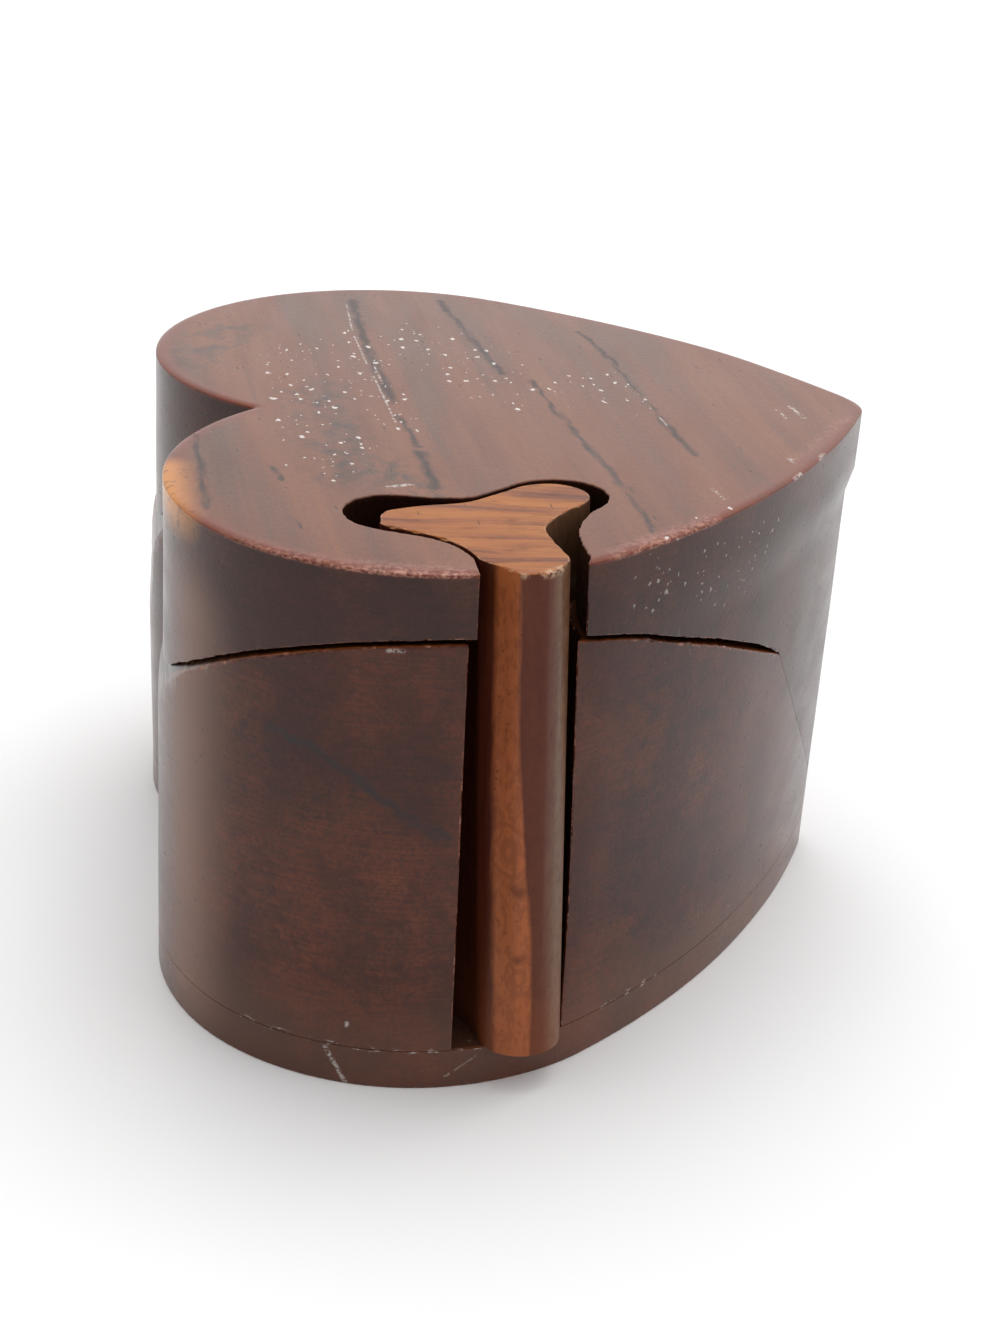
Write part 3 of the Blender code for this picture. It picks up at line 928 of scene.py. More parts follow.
def flecks_group():
    """Specks of polish left on a face, from a place across and along it."""
    tree, given = new_group("polish_flecks", None, Across=0.0, Along=0.0, Size=2.0, Share=0.5)
    across = maths(tree, "DIVIDE", given["Across"], given["Size"])
    along = maths(tree, "DIVIDE", given["Along"], times(tree, given["Size"], FLECK_LENGTH))
    laid = node(tree, "CombineXYZ", {"X": across, "Y": along}).outputs[0]
    feeds = {"Vector": laid, "Scale": 1.0}
    cells = node(tree, "TexVoronoi", feeds, feature="F1", voronoi_dimensions="2D").outputs
    flecks = dots_in_cells(tree, cells, given["Share"], least=0.05, spread=0.11, core=0.6)
    return giving(tree, Flecks=flecks)


def outline_group():
    """How deep a place lies inside the heart's outer wall, in mm."""
    tree, given = new_group("inside_heart")
    axes = axes_of(tree, given["Place"])
    share = minus(tree, 1.0, maths(tree, "DIVIDE", axes["Z"], BOX_HEIGHT / MM))
    upright = plus(tree, axes["X"], times(tree, share, WALL_LEAN / MM))
    feeds = {"From Min": TIP_SKEW_FROM / MM, "From Max": TIP_X / MM, "To Max": TIP_SKEW / MM}
    skew_map = node(tree, "MapRange", {"Value": upright, **feeds}, interpolation_type="SMOOTHSTEP")
    straight = maths(tree, "ABSOLUTE", minus(tree, axes["Y"], skew_map.outputs["Result"]))
    plan = node(tree, "CombineXYZ", {"X": upright, "Y": straight}).outputs[0]
    lobe = Vector((LOBE_X, LOBE_OFFSET, 0)) / MM
    side = side_centre() / MM
    to_lobe = (lobe - side).normalized()
    from_side = vector_maths(tree, "SUBTRACT", plan, side).outputs[0]
    in_lobe = vector_maths(tree, "LENGTH", vector_maths(tree, "SUBTRACT", plan, lobe).outputs[0])
    in_side = vector_maths(tree, "LENGTH", from_side)
    turn = vector_maths(tree, "CROSS_PRODUCT", from_side, to_lobe).outputs[0]
    past_join = maths(tree, "LESS_THAN", axes_of(tree, turn)["Z"], 0.0)
    lobe_depth = minus(tree, LOBE_RADIUS / MM, in_lobe.outputs["Value"])
    side_depth = minus(tree, SIDE_RADIUS / MM, in_side.outputs["Value"])
    made = node(tree, "Mix", {"Factor": past_join, "A": side_depth, "B": lobe_depth}, data_type="FLOAT")
    return giving(tree, Depth=made.outputs["Result"])


def marks_group(name, rows):
    """Placed marks: each row is a start and an end in mm and how far the mark reaches from that line."""
    tree, given = new_group(name)
    total = None
    for start, end, reach in rows:
        start, end = Vector(start), Vector(end)
        run = end - start
        from_start = vector_maths(tree, "SUBTRACT", given["Place"], start).outputs[0]
        mark_from = from_start
        if run.length > 0:
            share = vector_maths(tree, "DOT_PRODUCT", from_start, run / run.length_squared)
            foot = stretched(tree, run, plus(tree, share.outputs["Value"], 0.0, clamp=True))
            mark_from = vector_maths(tree, "SUBTRACT", from_start, foot).outputs[0]
        away = vector_maths(tree, "LENGTH", mark_from).outputs["Value"]
        mark = fade(tree, away, 0.0, reach)
        total = mark if total is None else larger(tree, total, mark)
    return giving(tree, Marks=total)


def lacquer_group():
    """Satin lacquer over sanded wood: its roughness, and the height of sanding lines and open pores."""
    tree, given = new_group("satin_lacquer", Gloss=0.3, Dull=0.0, Pits=0.0)
    satin = grain_noise(tree, given["Place"], SATIN_PATCHES)
    rough = plus(tree, times(tree, satin, SATIN_UNEVEN), given["Gloss"])
    rough = plus(tree, rough, times(tree, given["Dull"], DULL_ROUGHER), clamp=True)
    sanding = times(tree, grain_noise(tree, given["Place"], SANDING_RELIEF), SANDING_HEIGHT)
    orange_peel = times(tree, grain_noise(tree, given["Place"], ORANGE_PEEL), ORANGE_PEEL_HEIGHT)
    height = minus(tree, plus(tree, sanding, orange_peel), given["Pits"])
    return giving(tree, Roughness=rough, Height=height)


# Places of marks, in mm: start, end, reach
LID_STREAKS = [
    ((-14.3, 44.0, 57.5), (-14.5, 22.0, 57.5), 1.0),
    ((-14.5, 22.0, 57.5), (-13.7, 1.0, 57.5), 1.1),
    ((-13.7, -4.0, 57.5), (-12.8, -14.0, 57.5), 0.8),
    ((-12.8, -16.0, 57.5), (-12.4, -27.0, 57.5), 1.1),
    ((4.4, -2.1, 57.5), (6.5, -20.8, 57.5), 0.7),
    ((6.5, -20.8, 57.5), (7.4, -29.1, 57.5), 0.9),
    ((7.4, -29.1, 57.5), (7.4, -40.5, 57.5), 0.7),
    ((3.5, 9.2, 57.5), (4.4, -2.1, 57.5), 0.6),
    ((-2.7, 44.0, 57.5), (0.5, 12.0, 57.5), 0.9),
    ((13.3, 29.3, 57.5), (15.0, 17.2, 57.5), 0.7),
    ((15.0, 17.2, 57.5), (16.0, -4.8, 57.5), 0.6),
    ((16.0, -4.8, 57.5), (17.0, -17.8, 57.5), 0.8),
    ((-36.4, -9.5, 57.5), (-36.0, -20.0, 57.5), 0.7),
    ((-36.0, -20.0, 57.5), (-36.0, -32.0, 57.5), 0.9),
    ((-28.8, -20.5, 57.5), (-28.1, -24.0, 57.5), 0.5),
    ((-27.5, -35.6, 57.5), (-27.1, -37.6, 57.5), 0.5),
]
LID_DASHES = [
    ((32.3, -1.1, 57.5), (32.8, -5.4, 57.5), 0.42),
    ((30.4, -2.4, 57.5), (30.4, -2.8, 57.5), 0.4),
    ((30.6, -3.7, 57.5), (30.6, -5.7, 57.5), 0.25),
    ((27.2, -19.1, 57.5), (27.4, -20.7, 57.5), 0.45),
    ((30.6, -18.9, 57.3), (31.6, -17.2, 57.3), 0.4),
    ((26.2, -24.9, 57.3), (27.3, -23.4, 57.3), 0.4),
    ((16.3, -28.1, 57.5), (16.9, -31.4, 57.5), 0.32),
    ((16.0, -4.8, 57.5), (16.2, -8.0, 57.5), 0.2),
    ((-17.3, -26.6, 57.5), (-14.9, -25.9, 57.5), 0.55),
    ((-15.2, 42.5, 57.5), (-15.6, 30.0, 57.5), 0.2),
    ((-15.6, 28.0, 57.5), (-15.2, 16.0, 57.5), 0.2),
    ((-14.4, 15.0, 57.5), (-14.1, 8.0, 57.5), 0.18),
    ((-14.9, 11.0, 57.5), (-14.2, -6.0, 57.5), 0.2),
    ((7.5, -42.2, 48.6), (8.7, -41.2, 48.6), 0.35),
]
FLECK_PATCHES = [
    ((-24.4, 20.0, 57.5), (-22.0, -20.0, 57.5), 6.5),
    ((-16.0, 30.0, 57.5), (-14.5, -8.0, 57.5), 5.0),
    ((-9.0, 30.0, 57.5), (2.0, 4.0, 57.5), 8.0),
    ((8.2, -41.7, 53.0), (20.5, -30.5, 51.5), 6.0),
    ((11.0, 10.0, 57.5), (14.0, 0.0, 57.5), 5.0),
]
# Painted highlight on the near lobe's rounded left end at the rim
NEAR_LOBE_HIGHLIGHT = [((-40.6, -20.0, 57.2), (-40.2, -34.0, 57.2), 4.6)]
# Painted highlights down the lobes' left sides
PAINTED_SIDE_HIGHLIGHT = [
    ((-39.0, -34.0, 6.0), (-39.0, -34.0, 46.0), 10.0),
    ((-42.0, 26.0, 6.0), (-42.0, 26.0, 46.0), 9.0),
]
# Painted light: a lit patch on the lid's top
LID_PAINTED_LIGHT = [((10.0, -20.0, 57.5), (12.0, -34.0, 57.5), 5.0)]
LID_SHADES = [
    ((-22.0, 6.0, 57.5), (-21.0, -22.0, 57.5), 7.0),
    ((-17.0, -20.0, 57.5), (-14.0, -29.0, 57.5), 6.0),
    ((-31.0, 32.0, 57.5), (-36.0, 18.0, 57.5), 8.0),
    ((4.0, -45.5, 50.5), (16.0, -34.5, 48.5), 7.0),
    ((-18.0, -49.6, 52.0), (-11.0, -50.4, 45.0), 8.0),
]
RIM_CHIPS = [
    ((-36.0, -41.0, 56.6), (-26.0, -48.2, 56.6), 4.0),
    ((-26.0, -48.2, 56.6), (-14.0, -50.5, 56.6), 4.0),
    ((3.0, -45.5, 56.6), (14.0, -37.0, 56.6), 2.4),
    ((38.0, -5.0, 56.6), (28.0, -19.0, 56.6), 1.6),
]
BODY_LINES = [
    ((-30.4, -43.9, 39.3), (-26.7, -46.4, 38.2), 0.8),
    ((-26.7, -46.4, 38.2), (-22.0, -48.6, 35.4), 0.9),
    ((-22.0, -48.6, 35.4), (-18.1, -49.6, 32.2), 1.0),
    ((-18.1, -49.6, 32.2), (-13.1, -50.1, 29.2), 1.0),
    ((13.6, -37.0, 45.9), (13.6, -37.0, 45.5), 0.45),
    ((32.9, -13.5, 23.6), (33.0, -13.4, 23.3), 0.5),
]
BODY_SHADES = [
    ((-34.5, -39.5, 41.0), (-31.5, -43.0, 36.0), 6.0),
    ((-27.5, -46.0, 29.0), (-24.0, -48.0, 33.0), 6.0),
    ((8.4, -41.0, 44.0), (8.6, -41.0, 8.0), 9.0),
    ((16.0, -35.0, 40.0), (16.0, -35.0, 12.0), 9.0),
]
# Painted light: lit patches on the block's near wall
BODY_PAINTED_LIGHT = [
    ((-33.2, -41.6, 24.0), (-27.0, -46.5, 16.0), 11.0),
    ((-25.0, -47.5, 30.0), (-18.0, -49.5, 24.0), 9.0),
    ((-22.0, -48.6, 12.0), (-14.0, -50.0, 20.0), 9.0),
]
GLUE_PATCHES = [
    ((-31.5, -43.0, 4.6), (-20.5, -49.0, 4.6), 4.0),
    ((-19.0, -49.5, 4.6), (-8.0, -49.8, 4.6), 1.6),
    ((4.5, -44.4, 4.6), (13.0, -37.8, 4.6), 1.8),
]
BODY_SCRATCHES = [
    ((-24.9, -47.7, 4.0), (-22.9, -48.5, 0.3), 0.4),
    ((-12.7, -50.1, 1.4), (-9.6, -49.8, 3.5), 0.25),
    ((22.8, -26.8, 6.1), (23.8, -25.6, 6.0), 0.3),
    ((-22.8, -48.5, 7.1), (-22.8, -48.5, 7.4), 0.35),
    ((-1.4, -47.7, 44.3), (-1.4, -47.7, 44.8), 0.3),
    ((-19.6, -49.2, 49.4), (-18.2, -49.5, 49.5), 0.35),
]
KEY_CHIPS = [
    ((-8.2, -50.9, 57.5), (-7.1, -50.9, 57.5), 0.8),
    ((-4.9, -50.3, 57.5), (-2.4, -48.5, 57.4), 0.9),
]
KEY_RINGS = [
    ((-7.8, -50.8, 28.3), (-7.8, -50.8, 27.5), 4.3),
    ((-5.8, -52.0, 14.0), (-5.8, -52.0, 13.6), 3.0),
]
KEY_SPOTS = [
    ((-7.2, -51.3, 23.8), (-6.0, -51.7, 23.6), 1.5),
    ((-6.7, -51.6, 15.9), (-5.2, -51.9, 16.1), 1.0),
    ((-6.7, -51.5, 42.5), (-7.2, -51.5, 40.8), 0.6),
    ((-7.6, -51.4, 47.0), (-7.0, -51.4, 45.5), 0.5),
]


def shared_groups():
    """Builds each shared effect once."""
    return {
        "growth": growth_group(),
        "figure": figure_group(),
        "pores": pores_group(),
        "flecks": flecks_group(),
        "inside": outline_group(),
        "lacquer": lacquer_group(),
    }


# Finishes

def new_material(name):
    """A material with its tree, its shader, a place in mm in the drawing's frame and the face's normal."""
    made = bpy.data.materials.new(name)
    made.use_nodes = True
    tree = made.node_tree
    shader = tree.nodes["Principled BSDF"]
    coordinates = node(tree, "TexCoord").outputs
    feeds = {"Vector": coordinates["Object"], "Location": -DRAWN_TO_FRAME / MM, "Scale": (1 / MM,) * 3}
    drawn = node(tree, "Mapping", feeds).outputs[0]
    return made, tree, shader, drawn, coordinates["Normal"]


def shown_marks(tree, name, rows, at):
    """Where placed marks lie."""
    return use(tree, marks_group(name, rows), {"Place": at})["Marks"]


def laid_pores(tree, groups, at, pores):
    """Open pores at a place, as one of the pore patterns says."""
    return use(tree, groups["pores"], {"Place": at, **pores})["Pores"]


def facing_up(tree, normal):
    """1 on faces that look up, 0 on upright ones."""
    return fade(tree, axes_of(tree, normal)["Z"], 0.8, 0.4)


def lay_lacquer(tree, shader, groups, at, gloss, dull, pits):
    """Feeds the shader's roughness and normal."""
    coat = use(tree, groups["lacquer"], {"Place": at, "Gloss": gloss, "Dull": dull, "Pits": pits})
    shader.inputs["Specular IOR Level"].default_value = LACQUER_SHINE
    tree.links.new(coat["Roughness"], shader.inputs["Roughness"])
    feeds = {"Strength": RELIEF_STRENGTH, "Distance": RELIEF_DEPTH, "Height": coat["Height"]}
    tree.links.new(node(tree, "Bump", feeds).outputs[0], shader.inputs["Normal"])


def worn_arris(tree, at):
    """Rubbed arrises and the chips in them, from what the piece's faces are marked with; on the block and
    the lid the rubbed arrises are laid partly as wear and partly as painted highlight.
    """
    arris = node(tree, "Attribute", attribute_name="arris").outputs["Fac"]
    chipped = node(tree, "Attribute", attribute_name="chipped").outputs["Fac"]
    rubbed = grain_noise(tree, at, RUBBED_PATCHES)
    rub = times(tree, arris, fade(tree, rubbed, 0.62, 0.42))
    chip = times(tree, times(tree, arris, chipped), fade(tree, rubbed, 0.58, 0.50))
    return rub, chip


def sawn_and_shaded_inside(tree, groups, at, shift, start):
    """Depth inside the outer wall, and 1 on the sawn faces below the top and deeper than a start, which
    are darkened as sawn wood and by painted shade inside the slot and slit.
    """
    shifted = vector_maths(tree, "SUBTRACT", at, (shift / MM, 0, 0)).outputs[0]
    depth = use(tree, groups["inside"], {"Place": shifted})["Depth"]
    inner = fade(tree, depth, start + 0.35, start)
    below_top = fade(tree, axes_of(tree, at)["Z"], BOX_HEIGHT / MM - 0.5, BOX_HEIGHT / MM - 0.12)
    return depth, times(tree, inner, below_top)


def dark_wood(name, groups, lines, painted_lights, shades, wall_shade):
    """The dark wood's colour, for the block and the lid: figure, mottle, pores and placed lines, with
    patches of painted light, painted shade on the upright walls and placed patches, and a painted
    highlight down the lobes' left sides.
    """
    made, tree, shader, at, normal = new_material(name)
    growth = use(tree, groups["growth"], {"Place": at})["Growth"]
    figure = use(tree, groups["figure"], {"Growth": growth})
    upward = facing_up(tree, normal)
    sideways = minus(tree, 1.0, upward)

    body = times(tree, figure["Broad"], BROAD_SHARE)
    body = plus(tree, body, times(tree, figure["Fine"], 1 - BROAD_SHARE))
    across = times(tree, fade(tree, grain_noise(tree, at, WALL_CLOUDS), 0.66, 0.40), CLOUD_SHARE)
    across = plus(tree, across, times(tree, body, 1 - CLOUD_SHARE))
    # Upright walls take a darker ramp and a share of SHADE: painted shade on the sides
    walls = mixed(tree, wall_shade, ramp(tree, across, SHADED_WALL_COLOURS), SHADE)
    colour = mixed(tree, upward, walls, ramp(tree, body, TOP_COLOURS))

    ragged = grain_noise(tree, at, RAGGED_PATCHES)
    # Painted light: lighter red patches where the wood is lit
    glow = times(tree, shown_marks(tree, name + "_glows", painted_lights, at), fade(tree, ragged, 0.75, 0.25))
    colour = laid_over(tree, colour, PAINTED_LIGHT_RED, glow, SHOWS["glow"])
    shade = times(tree, shown_marks(tree, name + "_shades", shades, at), fade(tree, ragged, 0.70, 0.40))
    colour = laid_over(tree, colour, SHADE, shade, SHOWS["shade"])
    sanded = times(tree, fade(tree, grain_noise(tree, at, SANDING_MARKS), 0.40, 0.56), sideways)
    colour = laid_over(tree, colour, SHADE, sanded, SHOWS["sanding"])

    speckle = grain_noise(tree, at, SPECKLE)
    strength = minus(tree, SHOWS["speckle"], times(tree, upward, SHOWS["speckle less on top"]))
    colour = laid_over(tree, colour, SHADE, fade(tree, speckle, 0.36, 0.54), strength)
    lit = times(tree, strength, SHOWS["specks lit"])
    colour = laid_over(tree, colour, SPECK, fade(tree, speckle, 0.74, 0.56), lit)
    # Painted highlight down each lobe's left side
    side_highlight = shown_marks(tree, name + "_side", PAINTED_SIDE_HIGHLIGHT, at)
    colour = laid_over(tree, colour, SIDE_HIGHLIGHT_AND_FOOT_BROWN, side_highlight, SHOWS["pale side"])

    in_walls = times(tree, laid_pores(tree, groups, at, WALL_PORES), sideways)
    on_top = times(tree, laid_pores(tree, groups, at, TOP_PORES), upward)
    placed = shown_marks(tree, name + "_lines", lines, wandering(tree, at, LINE_WANDER, reach=1.9))
    placed = times(tree, placed, fade(tree, grain_noise(tree, growth, PATCHY_LINES), 0.50, 0.26))
    streaks = times(tree, times(tree, figure["Streaks"], upward), SHOWS["streaks"])
    dark = larger(tree, times(tree, placed, SHOWS["placed lines"]), streaks)
    dark = larger(tree, dark, times(tree, on_top, SHOWS["pores on top"]))
    dark = larger(tree, dark, times(tree, in_walls, SHOWS["pores in walls"]))
    colour = mixed(tree, dark, colour, STREAK)
    pits = larger(tree, on_top, times(tree, in_walls, SHOWS["pits in walls"]))
    return made, tree, shader, at, colour, dark, pits


def body_finish_of(groups):
    """The block and the floor board: dark wood with specks of glue along the board's joint."""
    made, tree, shader, at, colour, dark, pits = dark_wood(
        "block_wood", groups, BODY_LINES, BODY_PAINTED_LIGHT, BODY_SHADES, BODY_WALL_SHADE
    )
    inner = sawn_and_shaded_inside(tree, groups, at, shift=0.0, start=0.2)[1]
    # Sawn faces inside made darker: darker sawn wood, and painted shade in the slot and slit
    colour = laid_over(tree, colour, SAWN_AND_SHADED, inner, SHOWS["sawn"])
    rub, chip = worn_arris(tree, at)
    # Rubbed arrises lighter: wear, and a painted highlight where the edges catch light
    colour = laid_over(tree, colour, WORN_AND_HIGHLIT_RED, rub, SHOWS["block rubbed and highlit"])
    colour = laid_over(tree, colour, CHIP_PALE, chip, SHOWS["chipped"])
    z = axes_of(tree, at)["Z"]
    colour = laid_over(tree, colour, SIDE_HIGHLIGHT_AND_FOOT_BROWN, fade(tree, z, 2.0, 14.0), SHOWS["pale foot"])

    off_joint = maths(tree, "ABSOLUTE", minus(tree, z, SLAB_THICKNESS / MM + 0.1))
    specks = fade(tree, grain_noise(tree, at, GLUE_SPECKS), 0.66, 0.57)
    glue = times(tree, fade(tree, off_joint, 0.10, 0.45), specks)
    glue = times(tree, glue, shown_marks(tree, "glue_flecks", GLUE_PATCHES, at))
    scratches = shown_marks(tree, "block_scratches", BODY_SCRATCHES, at)
    scratches = times(tree, scratches, fade(tree, grain_noise(tree, at, CRUMBLY), 0.54, 0.42))
    pale = larger(tree, times(tree, glue, SHOWS["glue"]), times(tree, scratches, SHOWS["scratches"]))
    colour = mixed(tree, pale, colour, PALE)
    tree.links.new(colour, shader.inputs["Base Color"])
    lay_lacquer(tree, shader, groups, at, BODY_GLOSS, dark, pits)
    return made


def lid_finish_of(groups):
    """The lid: dark wood with a reddened rim, a painted highlight at the near lobe's left end, and polish
    left white in the pores.
    """
    made, tree, shader, at, colour, dark, pits = dark_wood(
        "lid_wood", groups, LID_STREAKS, LID_PAINTED_LIGHT, LID_SHADES, LID_WALL_SHADE
    )
    depth, inner = sawn_and_shaded_inside(tree, groups, at, shift=LOBE_SHIFT, start=0.6)
    # Sawn faces inside made darker: darker sawn wood, and painted shade in the slot and slit
    colour = laid_over(tree, colour, SAWN_AND_SHADED, inner, SHOWS["sawn"])
    z = axes_of(tree, at)["Z"]
    below_top = minus(tree, BOX_HEIGHT / MM, z)

    ragged = grain_noise(tree, at, RAGGED_RIM)
    inward = times(tree, maths(tree, "ABSOLUTE", depth), RIM_INWARD)
    from_rim = plus(tree, inward, times(tree, below_top, RIM_DOWNWARD))
    from_rim = plus(tree, from_rim, times(tree, ragged, RIM_RAGGEDNESS))
    band = times(tree, fade(tree, from_rim, 1.1, 2.0), fade(tree, ragged, 0.60, 0.30))
    colour = laid_over(tree, colour, RIM_RED, band, SHOWS["rim red"])
    # Painted highlight at the near lobe's rounded left end
    lobe_highlight = times(tree, shown_marks(tree, "near_lobe_highlight", NEAR_LOBE_HIGHLIGHT, at), fade(tree, ragged, 0.50, 0.26))
    colour = mixed(tree, lobe_highlight, colour, HIGHLIGHT_ORANGE)

    crumbs = grain_noise(tree, at, RIM_CRUMBS)
    low_on_rim = fade(tree, maths(tree, "ABSOLUTE", minus(tree, below_top, 0.22)), 0.10, 0.40)
    chips = times(tree, fade(tree, crumbs, 0.62, 0.42), low_on_rim)
    chips = times(tree, chips, shown_marks(tree, "rim_chips", RIM_CHIPS, at))
    rub, chip = worn_arris(tree, at)
    # Rubbed arrises lighter: wear, and a painted highlight where the edges catch light
    colour = laid_over(tree, colour, WORN_AND_HIGHLIT_RED, rub, SHOWS["lid rubbed and highlit"])
    chips = larger(tree, times(tree, chips, SHOWS["rim chips"]), times(tree, chip, SHOWS["chipped"]))
    colour = mixed(tree, chips, colour, CHIP_PALE)

    patches = times(tree, shown_marks(tree, "fleck_patches", FLECK_PATCHES, at), 1.6, clamp=True)
    on_top = maths(tree, "GREATER_THAN", z, BOX_HEIGHT / MM - 0.3)
    axes = axes_of(tree, wandering(tree, at, FLECK_WANDER, reach=1.0))
    along = plus(tree, times(tree, axes["Y"], on_top), axes["Z"])
    large = plus(tree, times(tree, on_top, FLECK_LARGER_ON_TOP), FLECK_SIZE)
    flecks = None
    for size, share in ((large, FLECK_SHARE), (SMALL_FLECK_SIZE, SMALL_FLECK_SHARE)):
        spread = {"Across": axes["X"], "Along": along, "Size": size, "Share": times(tree, patches, share)}
        flecks_here = use(tree, groups["flecks"], spread)["Flecks"]
        flecks = flecks_here if flecks is None else larger(tree, flecks, flecks_here)
    strength = plus(tree, times(tree, on_top, SHOWS["flecks more on top"]), SHOWS["flecks"])
    flecks = times(tree, flecks, strength)
    dashes = shown_marks(tree, "pale_dashes", LID_DASHES, at)
    dashes = times(tree, dashes, fade(tree, crumbs, 0.56, 0.46))
    colour = mixed(tree, larger(tree, flecks, times(tree, dashes, SHOWS["dashes"])), colour, PALE)
    tree.links.new(colour, shader.inputs["Base Color"])
    lay_lacquer(tree, shader, groups, at, LID_GLOSS, dark, pits)
    return made


def key_side_light_and_shade(tree, at):
    """Painted light and shade on the key's upright faces, partly grain: a shaded left flank, a lit facet,
    a shaded facet and a painted reflection on the bevel, from its left flank over its narrow faces to its
    right one.
    """
    axes = axes_of(tree, at)
    lean = times(tree, minus(tree, 1.0, maths(tree, "DIVIDE", axes["Z"], BOX_HEIGHT / MM)), KEY_LEAN / MM)
    across = minus(tree, minus(tree, axes["X"], lean), KEY_X / MM)
    smear = minus(tree, grain_noise(tree, at, KEY_SMEARS), 0.5)
    across = plus(tree, across, times(tree, smear, SMEAR_REACH))
    at_foot = times(tree, fade(tree, axes["Z"], 12.0, 42.0), fade(tree, across, -0.8, -2.8))
    at_foot = times(tree, at_foot, fade(tree, across, 0.9, 2.3))
    across = minus(tree, across, times(tree, at_foot, FACET_WIDER))
    share = plus(tree, maths(tree, "DIVIDE", across, FACETS_WIDTH), 0.5, clamp=True)
    return ramp(tree, share, KEY_LIGHT_AND_SHADE_FACETS)


def key_dark_marks(tree, groups, at, sides):
    """The key's pores, and all that darkens it: clouds, pores, rings, spots and blotches."""
    pores = laid_pores(tree, groups, at, KEY_PORES)
    dark = times(tree, fade(tree, grain_noise(tree, at, KEY_CLOUDS), 0.30, 0.50), SHOWS["key clouds"])
    ragged_at = wandering(tree, at, KEY_WANDER, reach=1.0)
    knots = shown_marks(tree, "key_rings", KEY_RINGS, ragged_at)
    rings = maths(tree, "SINE", times(tree, knots, KEY_RINGS_CLOSE))
    rings = times(tree, fade(tree, rings, -0.8, 0.0), fade(tree, knots, 0.15, 0.0))
    dark = larger(tree, dark, times(tree, pores, SHOWS["key pores"]))
    dark = larger(tree, dark, times(tree, rings, SHOWS["key rings"]))
    spots = shown_marks(tree, "key_spots", KEY_SPOTS, ragged_at)
    dark = larger(tree, dark, times(tree, spots, SHOWS["key spots"]))
    blotch = fade(tree, grain_noise(tree, at, KEY_BLOTCHES), 0.38, 0.56)
    return pores, larger(tree, dark, times(tree, blotch, times(tree, sides, SHOWS["key blotches"])))


def key_finish_of(groups):
    """The key: orange wood whose grain runs across its top, with flanks darkened by painted shade, painted
    light on its facets, and two chipped corners.
    """
    made, tree, shader, at, normal = new_material("key_wood")
    turned = node(tree, "Mapping", {"Vector": at, "Rotation": (0, 0, KEY_GRAIN_TURN)}).outputs[0]
    axes = axes_of(tree, turned)
    bent = plus(tree, axes["Y"], times(tree, grain_noise(tree, turned, KEY_SWAY), KEY_BEND))
    laid = node(tree, "CombineXYZ", {"X": axes["X"], "Y": bent, "Z": axes["Z"]}).outputs[0]
    upward = facing_up(tree, normal)
    sides = times(tree, minus(tree, 1.0, upward), SHOWS["key sides"])

    lines = grain_noise(tree, laid, KEY_LINES)
    body = times(tree, grain_noise(tree, laid, KEY_BANDS), KEY_BANDS_SHARE)
    body = plus(tree, body, times(tree, lines, KEY_LINES_SHARE))
    colour = ramp(tree, fade(tree, body, 0.75, 0.32), KEY_COLOURS)
    thin = times(tree, fade(tree, lines, 0.30, 0.42), upward)
    colour = laid_over(tree, colour, KEY_DARK, thin, SHOWS["key grain lines"])
    # Painted light and shade on the key's upright faces, partly grain
    colour = mixed(tree, sides, colour, key_side_light_and_shade(tree, at))
    pores, dark = key_dark_marks(tree, groups, at, sides)
    colour = mixed(tree, dark, colour, KEY_DARK)

    rub = worn_arris(tree, at)[0]
    colour = laid_over(tree, colour, WORN_TAN, times(tree, rub, upward), SHOWS["key rubbed"])
    chips = shown_marks(tree, "key_chips", KEY_CHIPS, at)
    crumbly = fade(tree, grain_noise(tree, at, CRUMBLY), 0.56, 0.40)
    colour = mixed(tree, times(tree, chips, crumbly), colour, WORN_TAN)
    foot = times(tree, fade(tree, axes_of(tree, at)["Z"], 5.0, 16.0), SHOWS["key foot"])
    colour = mixed(tree, times(tree, foot, sides), colour, KEY_LIT_AND_FOOT_ORANGE)
    tree.links.new(colour, shader.inputs["Base Color"])
    lay_lacquer(tree, shader, groups, at, KEY_GLOSS, dark, pores)
    shader.inputs["Specular IOR Level"].default_value = KEY_SHINE
    return made


def felt_finish():
    """Short dark red felt."""
    made, tree, shader, at = new_material("felt_nap")[:4]
    cloud = grain_noise(tree, at, FELT_CLOUDS)
    fibre = grain_noise(tree, at, FELT_FIBRES)
    colour = mixed(tree, fibre, FELT_DARK, FELT_LIGHT)
    colour = laid_over(tree, colour, FELT_MIDDLE, cloud, SHOWS["felt clouds"])
    tree.links.new(colour, shader.inputs["Base Color"])
    for label, value in FELT_SHEEN.items():
        shader.inputs[label].default_value = value
    bump = node(tree, "Bump", {"Strength": FIBRE_STRENGTH, "Distance": FIBRE_HEIGHT, "Height": fibre})
    tree.links.new(bump.outputs[0], shader.inputs["Normal"])
    return made


# Colours and lacquer

TOP_COLOURS = [
    (0.0, (0.104, 0.034, 0.017)),
    (0.5, (0.160, 0.041, 0.010)),
    (1.0, (0.205, 0.056, 0.012)),
]
# Upright walls: darker than the top by painted shade
SHADED_WALL_COLOURS = [
    (0.0, (0.048, 0.009, 0.004)),
    (0.5, (0.084, 0.016, 0.005)),
    (1.0, (0.116, 0.026, 0.008)),
]
# Painted light: the red of the lit patches
PAINTED_LIGHT_RED = (0.170, 0.040, 0.012)
# Painted highlight colour at the near lobe's end
HIGHLIGHT_ORANGE = (0.640, 0.250, 0.050)
SHADE = (0.020, 0.008, 0.006)
STREAK = (0.022, 0.016, 0.018)
# Darker sawn wood, and painted shade inside the slot and slit
SAWN_AND_SHADED = (0.012, 0.005, 0.003)
RIM_RED = (0.180, 0.034, 0.018)
